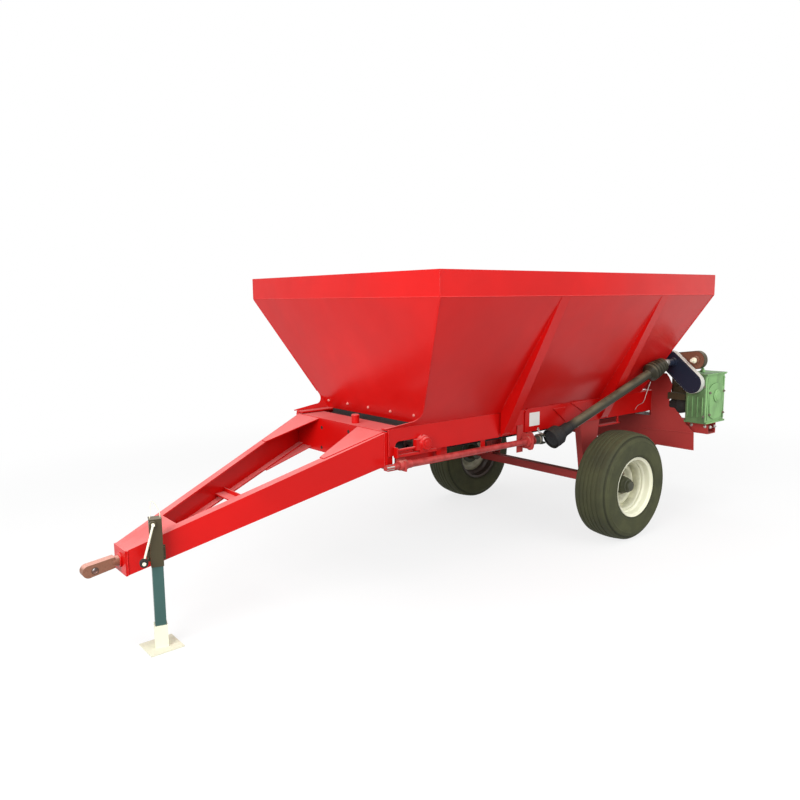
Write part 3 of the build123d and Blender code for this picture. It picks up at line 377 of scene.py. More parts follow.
class Finish(Tree):
    """The nodes of one material and the colour they have built up so far."""

    def __init__(self, name, colour):
        self.material = bpy.data.materials.new(name)
        super().__init__(self.material)
        self.tone = colour
        self.shader = self.nodes["Principled BSDF"]
        self.where = self.node("TexCoord", output="Object")
        facing = self.node("NewGeometry", output="Normal")
        self.left, self.up = (self.node("SeparateXYZ", {0: facing}, which) for which in (1, 2))

    def moved(self, offset=(0, 0, 0), stretch=(1, 1, 1)):
        return self.node("Mapping", {"Vector": self.where, "Location": offset, "Scale": stretch})

    def noise(self, scale, detail=3, offset=(0, 0, 0), stretch=(1, 1, 1), rough=0.55):
        return self.node("TexNoise", {"Vector": self.moved(offset, stretch), "Scale": scale, "Detail": detail,
                                      "Roughness": rough})

    def axis(self, which, offset=(0, 0, 0)):
        return self.node("SeparateXYZ", {0: self.moved(offset)}, which)

    def over(self, factor, colour):
        """Lays a colour over the tone by a factor."""
        first, second = (c if isinstance(c, Value) else (*tuple(c)[:3], 1.0) for c in (self.tone, colour))
        self.tone = self.node("Mix", {0: factor, 6: first, 7: second}, 2, data_type="RGBA")

    def bump(self, height, strength, distance, under=None):
        inputs = {"Strength": strength, "Distance": distance, "Height": height}
        if under is not None:
            inputs["Normal"] = under
        return self.node("Bump", inputs)

    def finish(self, rough, normal=None, specular=0.5, metal=0.0, coat=0.0, gloss=0.03):
        """Feeds the shader; gloss is the roughness of the clear coat."""
        sockets = {"Base Color": self.tone, "Roughness": rough, "Normal": normal, "Specular IOR Level": specular,
                   "Metallic": metal, "Coat Weight": coat, "Coat Roughness": gloss}
        for key, value in sockets.items():
            if value is not None:
                self.feed(self.shader.inputs[key], value)
        return self.material


def shade(colour, factor):
    """A colour made lighter or darker by a factor."""
    return tuple(min(c * factor, 1.0) for c in tuple(colour)[:3])


DUST = (0.42, 0.37, 0.29)


def enamel(name, colour, roughness=0.3, dust_and_sheen=0.1, wave=0.35, chips=0.0, coat=0.05, pale=DUST, low=0.0):
    """Sprayed enamel on sheet steel: slow tone drift, clouds of a deeper tone, paler where it faces up from dust and
    a painted sheen, orange peel, a slight waviness of the sheet, and on old pieces chips down to dark primer. On
    the hopper it is painted darker towards the foot as painted shade, and paler towards the top of its rear end
    as a painted sheen."""
    t = Finish(name, shade(colour, 0.88))
    drift, mottle = t.noise(0.9, 4), t.noise(5.0, 5, (3, 1, 2))
    t.over(drift.ramp(0.3, 0.7), shade(colour, 1.08))
    t.over(mottle.ramp(0.35, 0.75) * 0.25, shade(colour, 0.75))
    if low:
        height, rear = t.axis(2), 1.0 - t.axis(0).ramp(-2.1, -0.3)
        # painted shade: the paint is darkened towards the foot
        t.over((1.0 - height.ramp(0.95, 1.55)) * low, shade(colour, 0.45))
        # painted sheen: upper faces turned to the left are paled towards the rear end
        t.over(height.ramp(1.1, 1.9) * rear * t.left.ramp(0.3, 0.8) * 0.1, pale)
    # paler where it faces up: partly dust, partly a painted sheen of the sky on top faces
    soil_and_sheen = t.up.ramp(0.45, 0.95) * (0.6 + t.noise(3.5, 6, (8, 0, 4)).ramp(0.2, 0.7) * 0.4)
    t.over(soil_and_sheen * dust_and_sheen, pale)
    chip = t.noise(70.0, 4, (1, 7, 3)).ramp(0.74, 0.77) * t.noise(2.2, 3, (4, 4, 9)).ramp(0.5, 0.66)
    t.over(chip * chips, (0.045, 0.03, 0.025))
    peel = t.bump(t.noise(420.0, 2), 0.05, 0.0008)
    sheet = t.bump(t.noise(1.9, 2, (2, 6, 1)), wave, 0.018, peel)
    return t.finish(roughness + drift * 0.06 + soil_and_sheen * 0.3, sheet, 0.22, coat=coat, gloss=0.12)


def rubber(name, colour, dusty):
    """Weathered rubber: dull, lighter where dust lies, finely pitted."""
    t = Finish(name, colour)
    cloud, fine = t.noise(5.0, 6), t.noise(60.0, 4, (2, 2, 2))
    t.over(cloud.ramp(0.3, 0.75), dusty)
    t.over(fine.ramp(0.45, 0.8) * 0.35, shade(colour, 0.55))
    pits = t.bump(t.noise(300.0, 3), 0.25, 0.001)
    return t.finish(0.72 + cloud * 0.18, t.bump(fine, 0.3, 0.0015, pits), 0.35)


def tyre_rubber(name, colour, dusty):
    """Tyre rubber, by distance from the axle: dust gathers on the sidewall in rings; the bead and the groove at
    the shoulder are painted darker as painted shade."""
    t = Finish(name, colour)
    x, z = t.axis(0, tuple(-AXLE)), t.axis(2, tuple(-AXLE))
    radius = (x * x + z * z) ** 0.5
    rings = t.node("Math", {0: radius * 260.0}, operation="SINE")
    cloud = t.noise(4.0, 6, (1, 3, 2))
    wall = 1.0 - radius.ramp(0.38, 0.405)
    t.over(cloud.ramp(0.25, 0.8), dusty)
    t.over(wall * t.noise(11.0, 5, (6, 1, 1)).ramp(0.4, 0.75) * 0.5, shade(dusty, 1.25))
    # painted shade: the sidewall beside the rim is painted darker
    t.over((1.0 - radius.ramp(0.225, 0.265)) * 0.55, shade(colour, 0.55))
    # painted shade: the groove at the shoulder is painted darker
    t.over(radius.ramp(0.372, 0.382) * (1.0 - radius.ramp(0.388, 0.396)) * 0.6, shade(colour, 0.35))
    under = t.bump(rings * wall, 0.1, 0.0012)
    return t.finish(0.7 + cloud * 0.2, t.bump(t.noise(180.0, 3), 0.25, 0.0012, under), 0.3)


def casting(name, colour, oil=0.5, painted_side_light=0.0):
    """Painted iron casting: pebbled skin, oil-stained foot, chipped high spots, and faces turned to the machine's left
    painted paler as painted light.
    """
    t = Finish(name, shade(colour, 0.62))
    cloud, grain = t.noise(6.0, 6), t.noise(110.0, 5, (4, 1, 2))
    t.over(cloud.ramp(0.3, 0.72), shade(colour, 1.35))
    t.over(grain.ramp(0.55, 0.8) * 0.35, shade(colour, 1.7))
    # painted light: faces turned to the machine's left are painted paler
    t.over(t.left.ramp(0.3, 0.9) * painted_side_light, shade(colour, 2.6))
    t.over(t.noise(9.0, 5, (3, 3, 7), (1, 1, 0.5)).ramp(0.5, 0.72) * oil, (0.035, 0.03, 0.022))
    return t.finish(0.42 + grain * 0.25, t.bump(grain, 0.35, 0.0016))


def rusty(name, colour, spread=0.5, metal=0.55, painted_top_light=0.0, rust=(0.2, 0.075, 0.03)):
    """Bare or worn iron with blooms of rust, painted paler where it faces up as painted light from the sky."""
    t = Finish(name, colour)
    bloom = t.noise(14.0, 7, (2, 5, 1), rough=0.7).ramp(0.62 - 0.3 * spread, 0.78)
    fine = t.noise(90.0, 5, (7, 0, 3))
    t.over(bloom, rust)
    t.over(fine.ramp(0.5, 0.75) * 0.45, shade(rust, 0.45))
    # painted light: faces turned up are painted paler
    t.over(t.up.ramp(0.4, 0.9) * painted_top_light, (0.66, 0.34, 0.27))
    return t.finish(0.5 + bloom * 0.35, t.bump(fine, 0.4, 0.0014), metal=metal - bloom * metal * 0.9)


def steel(name, colour, roughness=0.36):
    """Turned or galvanised steel: brushed grain, dull spots."""
    t = Finish(name, colour)
    grain = t.noise(120.0, 3, stretch=(1, 1, 0.08))
    spots = t.noise(9.0, 6, (3, 8, 2)).ramp(0.4, 0.75)
    t.over(spots * 0.7, shade(colour, 0.5))
    return t.finish(roughness + spots * 0.25 + grain * 0.1, t.bump(grain, 0.12, 0.0006), metal=0.9)


def rim_dirt_and_shade(name, colour, soil_and_sheen):
    """Pale wheel enamel, by distance from the machine's middle plane: clean at the flange, soiled in the dish,
    painted nearly black inside the wheel disc as painted shade, with rusty specks."""
    t = Finish(name, colour)
    out = t.node("Math", {0: t.axis(1)}, operation="ABSOLUTE")
    cloud = t.noise(13.0, 6, (2, 4, 2))
    grime = ((1.0 - out.ramp(0.78, 0.95)) * 0.8 + 0.05) * cloud.ramp(0.1, 0.8)
    t.over(grime, soil_and_sheen)
    # painted shade: the inner side of the wheel disc is painted nearly black
    t.over((1.0 - out.ramp(0.786, 0.806)) * 0.93, (0.03, 0.014, 0.012))
    t.over(t.noise(75.0, 4, (5, 5, 1)).ramp(0.68, 0.74) * 0.6, (0.16, 0.07, 0.03))
    return t.finish(0.38 + grime * 0.4, t.bump(cloud, 0.12, 0.002), coat=0.15)


def moulded(name, colour, dusty):
    """Moulded black guard: satin, with road dust and a painted sheen on its top faces, cleaner on the front bell and
    the rear boot, which are told apart by their place along the machine."""
    t = Finish(name, (0.03, 0.028, 0.016))
    bell = t.axis(0).ramp(-0.8, -0.72)
    boot = 1.0 - t.axis(0).ramp(-1.66, -1.62)
    t.over(bell, colour)
    cloud = t.noise(8.0, 6, (1, 1, 5)).ramp(0.2, 0.7)
    # the up-facing mask is partly road dust and partly a painted sheen of the sky
    dust_and_sheen = t.up.ramp(0.05, 0.8) * cloud * (1.0 - bell * 0.85) * (1.0 - boot * 0.6)
    t.over(dust_and_sheen * 0.85, dusty)
    return t.finish(0.42 + dust_and_sheen * 0.3 + bell * 0.3, t.bump(t.noise(260.0, 2), 0.08, 0.0006), 0.25)


def greasy_end(name, colour):
    """Red enamel that ends in dark, greasy iron behind the last bearing of the side shaft."""
    t = Finish(name, colour)
    cloud = t.noise(20.0, 5)
    t.over(cloud.ramp(0.3, 0.7), (0.3, 0.018, 0.016))
    t.over(1.0 - t.axis(0).ramp(-0.4, -0.385), (0.022, 0.024, 0.016))
    return t.finish(0.42 + cloud * 0.15, specular=0.4)


# ---- sizes and colours a user may change
def length(name, description, default):
    return bpy.props.FloatProperty(name=name, description=description, default=default, min=0, unit="LENGTH")


def tint(name, description, default):
    return bpy.props.FloatVectorProperty(name=name, description=description, default=default, size=3, min=0,
                                         max=1, subtype="COLOR")


class SpreaderSizes(bpy.types.PropertyGroup):
    """Sizes of the details."""
    bolt: length("Bolt", "Half width of a common bolt head", 0.011)
    bead: length("Weld bead", "Radius of a weld bead", 0.004)
    groove: length("Tread groove", "Depth of the grooves round the tyre", 0.007)
    wire: length("Wire", "Radius of the wire loop on the jack", 0.002)
    link: length("Chain link", "Pitch of the guard chains", 0.018)


class SpreaderColours(bpy.types.PropertyGroup):
    """Base colours, in linear light."""
    red: tint("Red", "Hopper, chassis and drawbar", (0.66, 0.0045, 0.0035))
    dull_red: tint("Dull red", "Baffle, legs and frames at the rear", (0.48, 0.052, 0.046))
    green: tint("Green", "Gearboxes", (0.115, 0.225, 0.085))
    navy: tint("Navy", "Chain case", (0.016, 0.022, 0.042))
    cream: tint("Cream", "Rims, jack foot and crank", (0.88, 0.87, 0.68))
    brown: tint("Brown", "Upper chain cover and gearbox mount", (0.2, 0.085, 0.05))
    olive: tint("Olive", "Jack sleeve", (0.06, 0.048, 0.024))
    teal: tint("Blue-green", "Jack leg", (0.045, 0.105, 0.095))
    tyre: tint("Tyre", "Tyre rubber", (0.04, 0.043, 0.022))
    black: tint("Black", "Guard, seal and belt", (0.014, 0.014, 0.015))


MATERIALS = {}
# maker, colour or name of a colour that a user may change, then the maker's other values in order
FINISHES = {
    # the red's pale colour is a painted sheen of top faces with some dust; its last value darkens it towards the foot
    # as painted shade
    "paint_red": (enamel, "red", 0.3, 0.42, 0.35, 0.0, 0.05, (0.88, 0.42, 0.4), 0.28),
    "paint_red_dark": (enamel, "dull_red", 0.45, 0.3, 0.25, 0.5, 0.0),
    "bare_steel": (steel, (0.42, 0.4, 0.37)),
    "rubber_black": (rubber, "black", (0.03, 0.022, 0.019)),
    "primer_brown": (enamel, "brown", 0.5, 0.5, 0.1, 0.6, 0.0),
    "paint_navy": (enamel, "navy", 0.34, 0.25, 0.15, 0.3, 0.2),
    # the green's last value paints the faces turned to the left paler as painted light
    "paint_green": (casting, "green", 0.3, 0.75),
    "guard_black": (moulded, "black", (0.2, 0.18, 0.11)),
    # the eye's last value paints its up-facing faces paler as painted light
    "rusty_eye": (rusty, (0.23, 0.095, 0.055), 0.35, 0.08, 0.75),
    "hub_dark": (casting, (0.045, 0.048, 0.024), 0.7),
    "cream": (rim_dirt_and_shade, "cream", (0.15, 0.145, 0.055)),
    "jack_teal": (enamel, "teal", 0.36, 0.3, 0.1, 0.5, 0.1),
    "jack_olive": (enamel, "olive", 0.42, 0.3, 0.1, 0.4, 0.1),
    "galvanised": (steel, (0.5, 0.5, 0.49), 0.45),
    "tyre": (tyre_rubber, "tyre", (0.072, 0.076, 0.034)),
    "zinc": (steel, (0.6, 0.58, 0.54), 0.32),
    "plain_cream": (enamel, "cream", 0.4, 0.35, 0.0, 0.5, 0.1),
    "dark": (rubber, (0.012, 0.011, 0.01), (0.03, 0.028, 0.022)),
    "painted_shaft": (greasy_end, "dull_red"),
    "old_zinc": (rusty, (0.3, 0.27, 0.2), 0.6),
    "old_steel": (rusty, (0.2, 0.18, 0.14)),
    "dark_rust": (rusty, (0.075, 0.04, 0.026), 0.4, 0.2),
    "pink_bolt": (enamel, (0.8, 0.34, 0.3), 0.4, 0.2, 0.0, 0.0, 0.0),
    "label_white": (enamel, (0.86, 0.85, 0.8), 0.35, 0.12, 0.0, 0.2, 0.3),
    "pale_primer": (enamel, (0.62, 0.36, 0.32), 0.5, 0.5, 0.0, 0.6, 0.0),
    "case_cream": (enamel, (0.66, 0.66, 0.6), 0.4, 0.3, 0.0, 0.5, 0.1),
}


def paint(name):
    """The material of a record slot or of a detail, made once from the scene's colours."""
    if name not in MATERIALS:
        make, colour, *values = FINISHES[name]
        if isinstance(colour, str):
            colour = getattr(bpy.context.scene.spreader_colours, colour)
        MATERIALS[name] = make(name, colour, *values)
    return MATERIALS[name]


# CAD nodes whose finish differs from that of their record slot
NODE_FINISH = {"jack_foot": "plain_cream", "jack_crank": "plain_cream", "side_shaft": "painted_shaft",
               "drum_rear": "painted_shaft"}


class SPREADER_OT_paint(bpy.types.Operator):
    """Finish of every CAD node"""
    bl_idname = "spreader.paint"
    bl_label = "Paint"

    def execute(self, context):
        for entry in frame["record"]["subparts"]:
            materials = frame["nodes"][entry["node"]].data.materials
            materials.clear()
            materials.append(paint(NODE_FINISH.get(entry["node"], entry["material_slot"])))
        return {"FINISHED"}


# ---- tyres and wheels
WHEELS = {"left": 1, "right": -1}
TYRE_TOE = mm(213.5, 108, 214.5, 128.5, 231.5, 135, 239.5, 142.5)  # radius, distance from the tyre's middle
TYRE_WALL = mm(262, 1, 295, 0, 335, 1.5, 360, 6.5, 376, 13, 386, 19.5, 395, 26, 402, 33, 406.5, 40)  # radius, inset
TYRE_RINGS = (0.352, 0.004, 0.003), (0.254, 0.003, 0.002), (0.3845, 0.0035, -0.006)  # radius, width, rise
TYRE_GROOVES = mm(0, 4.5, 34, 5, 73, 5.5)  # distance from the middle, half width
RIM_LINE = mm(227.5, 141, 229.8, 137, 228.5, 131.5, 220, 128, 211.8, 123, 211, 98, 207, 80, 196, 73, 194, 56, 182.5, 45,
              181, -52, 192, -68, 210, -79, 211.8, -123, 220, -128, 228.5, -131.5, 229.8, -137, 227.5, -141)
DISC_LINE = mm(72, 0, 104, 0, 116, 6, 130, 22, 148, 24, 164, 12, 177.5, 4)
RIM_THICK, DISC_THICK = 0.005, 0.008
STUDS, STUD_CIRCLE = 6, 0.086


def tyre_profile(groove):
    """Section of a ribbed tyre as (radius, distance across): round sidewalls from a smooth curve with raised
    rings and a shoulder groove, each exp(-(offset / width) squared), and a crowned tread that falls with the
    square of the distance from its middle, cut by smooth-sided grooves 1 / (1 + (offset / width) ** 6)."""
    low, high = span("tyre_left")
    outer, half = (high[0] - low[0]) / 2, (high[1] - low[1]) / 2
    wall = smooth_line(np.vstack([TYRE_TOE, TYRE_WALL * (1, -1) + (0, half)]), 9)
    for radius, width, rise in TYRE_RINGS:
        wall[:, 1] += rise * np.exp(-((wall[:, 0] - radius) / width) ** 2)
    shoulder, edge = wall[-1]
    wall[:, 1] = np.minimum(wall[:, 1], half)
    t = np.linspace(edge, -edge, 190)
    cut = np.zeros_like(t)
    for middle, width in TYRE_GROOVES:
        cut = np.maximum(cut, 1 / (1 + (np.abs(np.abs(t) - middle) / width) ** 6))
    tread = outer - (outer - shoulder) * (t / edge) ** 2 - groove * cut
    return np.vstack([wall, np.stack([tread, t], 1), wall[::-1] * (1, -1)])


class SPREADER_OT_tyres(bpy.types.Operator):
    """Ribbed implement tyres with rounded sidewalls"""
    bl_idname = "spreader.tyres"
    bl_label = "Tyres"

    def execute(self, context):
        profile = tyre_profile(context.scene.spreader_sizes.groove)[::-1]
        for side in WHEELS:
            Shell().lathe(middle_of("tyre_" + side), Y, profile, 160).piece(
                "ribbed_tyre_" + side, "tyre", body="wheel_" + side, smooth=28, replaces=["tyre_" + side])
        return {"FINISHED"}


def rim_profile():
    """Section of a drop-centre rim, a closed loop: rolled flanges, bead seats, and a stepped well nearer the
    outer side. The inner line is the outer one moved along its normal."""
    outside = smooth_line(RIM_LINE, 5)
    ahead = unit(np.gradient(outside, axis=0))
    inside = outside + RIM_THICK * np.stack([ahead[:, 1], -ahead[:, 0]], 1)
    return np.vstack([outside, inside[::-1]])


def disc_profile():
    """Section of the wheel disc: flat at the studs, a raised ring, then a flange that meets the well."""
    face = smooth_line(DISC_LINE, 6)
    return np.vstack([face, face[::-1] + (0, DISC_THICK)])


class SPREADER_OT_wheels(bpy.types.Operator):
    """Dished steel rims, discs, hubs, studs and valves"""
    bl_idname = "spreader.wheels"
    bl_label = "Wheels"

    def execute(self, context):
        angle = circle(STUDS)[:, None]
        studs = STUD_CIRCLE * (np.cos(angle) * X + np.sin(angle) * Z)
        for side, sign in WHEELS.items():
            centre, body, out = middle_of("tyre_" + side), "wheel_" + side, Y * sign
            seat = centre - out * 0.0195
            rim = Shell().lathe(centre, out, rim_profile(), 128).lathe(seat, out, disc_profile(), 96)
            valve = centre + out * 0.062 + X * 0.184
            rim.tube([valve, valve + out * 0.012 - X * 0.008, valve + out * 0.04 - X * 0.014], 0.0045, 10)
            rim.piece("dished_rim_" + side, "cream", body=body, smooth=40, replaces=["wheel_rim_" + side])
            back = -1000 * abs(span("hub_" + side)[0 if sign > 0 else 1][1] - seat[1])
            hub = Shell().ring(seat, out, 64, 25.5, back, 58, back, 62, back + 6, 62, -30, 70, -18, 98, -15, 102, -12,
                               102, -1, 70, 0, 68, 12, 67, 40, 63, 46, 61, 70, 56, 76, 52, 96, 48, 98.5, 25.5, 98.5)
            hub.plug(seat, out, 40, .1, 99, 42, 99, 42, 108, 37, 119, 22, 124, .1, 125.5)
            hub.piece("wheel_hub_" + side, "hub_dark", body=body, smooth=35, replaces=["hub_" + side])
            Shell().bolts(seat + out * 0.0085 + studs, out, 0.014).piece(
                "wheel_nuts_" + side, "hub_dark", "old_zinc", body)
        return {"FINISHED"}


# ---- hopper
def rib_edges():
    """Where each rib starts and ends along the left wall."""
    x = np.unique(np.round(level_points("ribs_left")[:, 0], 3))
    breaks = np.flatnonzero(np.diff(x) > 0.2)
    return [x[0], *x[breaks], *x[breaks + 1], x[-1]]


class SPREADER_OT_hopper(bpy.types.Operator):
    """Seams, clamp bolts and inner skirts of the hopper"""
    bl_idname = "spreader.hopper"
    bl_label = "Hopper trim"

    def execute(self, context):
        sizes = context.scene.spreader_sizes
        bead, fine = sizes.bead, sizes.bead * 0.8
        top, foot, y = BAND_LOW[2], MOUTH_Z, BAND_HIGH[1] - 0.0015
        seams = Shell()
        seams.weld(on_side(on_front(0, foot + 0.12)[0], foot + 0.12), on_side(BAND_FRONT - 0.004, top - 0.004), bead)
        seams.weld(on_side(MOUTH_REAR, foot + 0.01), on_side(BAND_REAR + 0.004, top - 0.004), bead)
        seams.weld((BAND_REAR, y, top), (BAND_FRONT, y, top), fine)
        for x in (BAND_FRONT - 0.002, BAND_REAR + 0.002):
            seams.weld((x, y, top + 0.004), (x, y, BAND_HIGH[2] - 0.004), fine)
        for x in rib_edges():
            seams.weld(on_side(x, foot + 0.04, 0.001), on_side(x, top - 0.03, 0.001), fine)
        seams.mirror()
        half = BAND_HIGH[1] - 0.01
        for x in (BAND_FRONT - 0.0015, BAND_REAR + 0.0015):
            seams.weld((x, -half, top), (x, half, top), fine)
        seams.piece("hopper_weld_seams", "paint_red", smooth=60)

        places = [on_front(y, foot + 0.059, 0.0008) for y in (-0.496, -0.25, 0.0, 0.25, 0.496)]
        outward = on_front(0, 1, 1) - on_front(0, 1, 0)
        Shell().bolts(places, outward, sizes.bolt * 0.75).piece("front_clamp_bolts", "paint_red", "pink_bolt")

        front, rear = MOUTH_FRONT - 0.01, MOUTH_REAR + 0.01
        inner, outer = (0.438, foot - 0.006), (0.54, foot - 0.001)
        skirts = Shell().prism([(front, *inner), (rear, *inner), (rear, *outer), (front, *outer)], Z * 0.004)
        skirts.mirror().piece("floor_skirts", "rubber_black")
        return {"FINISHED"}


# ---- chassis
TIE_LOW, TIE_HIGH = 0.776, 0.788  # lower and upper face of the tie that runs under each rail
TIE_POSTS = 0.535, 0.95, 1.36
GUSSETS = (((-0.169, 1.019), (-0.315, 1.019), (-0.315, 0.909)), ((-0.386, 1.04), (-0.569, 1.04), (-0.569, 0.942)))
CABLE_HOLES = (-0.198, 0.965), (0.125, 0.98), (-0.207, 0.823)


class SPREADER_OT_chassis(bpy.types.Operator):
    """Bearing caps, gussets, lower tie, blank plate and deck details"""
    bl_idname = "spreader.chassis"
    bl_label = "Chassis trim"

    def execute(self, context):
        bead = context.scene.spreader_sizes.bead
        x, _, z = middle_of("drum_front")
        caps = Shell().ring((x, PLATE_Y + 0.001, z), Y, 56, 23.5, 0, 49, 0, 52.5, 4, 52.5, 30, 50, 35, 44, 37, 41, 41,
                            40, 48, 37, 51, 24, 51, 23.5, 46)
        caps.plug((x, PLATE_Y + 0.044, z), Y, 28, .1, 0, 23.5, 0, 23.5, 10, 19, 13, .1, 13)
        caps.plug((x + 0.018, PLATE_Y + 0.022, z + 0.047), (0.35, 0, 1), 10, 4, 0, 4, 12, 2, 16)
        caps.mirror().piece("takeup_bearing_caps", "paint_red")

        outer, under = PLATE_Y + GAP, RAIL_LOW[2] - GAP
        plates = Shell()
        for gusset in GUSSETS:
            plates.prism([(px, outer, pz) for px, pz in gusset], Y * 0.008)
        plates.box((0.53, 0.486, TIE_LOW), (1.398, 0.532, TIE_HIGH))
        plates.box((0.86, 0.4863, TIE_HIGH - 0.0005), (1.31, 0.4903, under))
        for px in TIE_POSTS:
            plates.box((px, 0.522, TIE_HIGH - 0.001), (px + 0.04, 0.531, under))
        plates.box((-1.031, 0.5, 0.812), (-0.755, 0.545, 0.822))
        plates.box((-1.031, 0.52, 0.8215), (-1.011, 0.532, under))
        plates.mirror().piece("side_gussets_and_tie", "paint_red", bevel=0.001)
        label = Shell().box((-0.02, outer, 0.914), (0.092, outer + 0.0012, 1.014))
        label.piece("blank_plate", "cream", "label_white")

        deck = span("front_crossmember")[1]
        # painted shade: dark discs stand for the shade inside the cable holes
        holes = Shell()
        for y, z in CABLE_HOLES:
            holes.disc((deck[0] - 0.0005, y, z), X, 12, 1.2)
        holes.piece("cable_holes", "rubber_black", "dark")
        place = (*middle_of("deck_post")[:2], span("deck_post")[1][2])
        post = Shell().plug(place, Z, 36, .1, 0, 25.5, 0, 26, -2, 28, -2, 28, 4, 24, 9, .1, 10)
        post.piece("deck_post_cap", "paint_red")

        seams = Shell()
        seams.weld((deck[0] - 0.001, 0.47, deck[2]), (deck[0] - 0.001, 0.02, deck[2]), bead * 0.7)
        x, low, high = RAIL_HIGH[0], RAIL_LOW[2], RAIL_HIGH[2]
        seams.weld((x, PLATE_Y, low + 0.003), (x, PLATE_Y, high - 0.003), bead)
        for x in (AXLE_X - 0.13, AXLE_X + 0.12):
            seams.weld((x, 0.485, low - 0.001), (x, 0.537, low - 0.001), bead)
        leg_z, leg_y = span("axle_legs")[0][2], span("axle_legs")[1][1]
        seams.weld((AXLE_X - 0.05, leg_y, leg_z), (AXLE_X + 0.05, leg_y, leg_z), bead)
        seams.mirror().piece("chassis_weld_seams", "paint_red", smooth=60)
        return {"FINISHED"}


# ---- drawbar and jack
def beam_corner(x, top=True):
    """Outer edge of the left beam at x, top or bottom, read from the beam's own corners."""
    points = level_points("drawbar_beam_left")
    ends = [points[np.abs(points[:, 0] - value) < 0.002] for value in (points[:, 0].min(), points[:, 0].max())]
    first, last = (end[np.argmax(end[:, 1] + (0.5 if top else -0.5) * end[:, 2])] for end in ends)
    return first + (x - first[0]) / (last[0] - first[0]) * (last - first)


class SPREADER_OT_drawbar(bpy.types.Operator):
    """Weld seams of the drawbar, shelf plate, swivel collar and rims of the eye's bushing"""
    bl_idname = "spreader.drawbar"
    bl_label = "Drawbar trim"

    def execute(self, context):
        beam_low, beam_high = span("drawbar_beam_left")
        seams = Shell()
        for x in (beam_low[0] + 0.002, beam_high[0] - 0.001):
            seams.weld(beam_corner(x), beam_corner(x, False), context.scene.spreader_sizes.bead * 1.2)
        seams.mirror().piece("drawbar_weld_seams", "paint_red", smooth=60)

        x, _, z = span("drawbar_bracket")[0] + (0.012, 0, 0.0085)
        shelf = Shell().box((x, -0.085, z), (x + 0.06, 0.085, z + 0.005))
        shelf.piece("shelf_plate", "paint_red", "pale_primer", bevel=0.001)
        # painted shade: dark discs stand for the shade inside the shelf plate's holes
        spots = Shell().disc((x + 0.03, 0.045, z + 0.0045), Z, 13, 1.5)
        spots.mirror().piece("shelf_plate_holes", "rubber_black", "dark")

        rims = Shell().ring(EYE + Y * 0.0275, Y, 40, 15.2, 0, 20.5, 0, 20, 1.4, 16.2, 1.6)
        rims.mirror().piece("eye_bushing_rims", "rusty_eye", "dark_rust", "hitch_eye")
        nose = span("drawbar_nose")[1][0]
        collar = Shell().ring((nose + 0.0004, 0, SWIVEL[2]), X, 48, 30.5, 0, 40, 0, 41, 2, 41, 8, 39, 10, 30.5, 10)
        collar.piece("swivel_collar", "paint_red")
        return {"FINISHED"}


WIRE_LOOP = ((-0.028, 0, -0.002), (-0.026, 0, 0.03), (-0.006, 0, 0.078), (0.01, 0.002, 0.098), (0.018, 0, 0.088),
             (0.024, 0, 0.03), (0.027, 0, -0.002))  # along the beam, beside it, above the sleeve
LID_HALF = 0.0355


class SPREADER_OT_jack(bpy.types.Operator):
    """Wire loop, crank grip, lid and fixings of the jack"""
    bl_idname = "spreader.jack"
    bl_label = "Jack trim"

    def execute(self, context):
        sleeve_low, sleeve_high = span("jack_sleeve")
        middle, top = middle_of("jack_leg") * (1, 1, 0), sleeve_high[2]
        along = unit((beam_corner(2.8) - beam_corner(1.5)) * (1, 1, 0))
        beside = np.cross(Z, along)

        def at(a, b, z):
            return middle + a * along + b * beside + z * Z

        loop = smooth_line([at(a, b, top + z) for a, b, z in WIRE_LOOP], 7)
        wire = Shell().tube(loop, context.scene.spreader_sizes.wire, 8, helper=beside)
        wire.piece("jack_wire_loop", "cream", "plain_cream", smooth=40)
        crank = level_points("jack_crank") - middle
        low, high = crank[:, 2].min(), crank[:, 2].max()
        foot = crank[crank[:, 2] < low + 0.041]
        ahead, aside = foot @ along, foot @ beside
        knob = at((ahead.min() + ahead.max()) / 2, (aside.min() + aside.max()) / 2, low + 0.02)
        grip = Shell().ring(knob, beside, 40, 11, -18.5, 19, -18.5, 22.5, -15, 23.5, -6, 23.5, 6, 22.5, 15, 19, 19,
                            11, 19, 11, 18.5, 20.2, 18.2, 20.2, -18.2)
        grip.piece("crank_grip", "rubber_black", "dark", smooth=40)
        corners = [at(a * LID_HALF, b * LID_HALF, top - 0.001) for a, b in ((-1, -1), (1, -1), (1, 1), (-1, 1))]
        Shell().prism(corners, Z * 0.0035).piece("jack_lid", "jack_olive", bevel=0.001)
        seat = Shell().bolts([at(a, -0.0325, sleeve_low[2] + z) for a in (-0.043, 0.043) for z in (0.03, 0.085)],
                             beside, 0.007)
        pin = crank[crank[:, 2] > high - 0.018]
        seat.ring(at((pin @ along).mean(), 0.0343, high - 0.009), beside, 28, 10, 0, 20, 0, 20.5, 2, 20.5, 7, 17, 10,
                  10, 10)
        seat.piece("jack_fixings", "jack_olive")
        return {"FINISHED"}


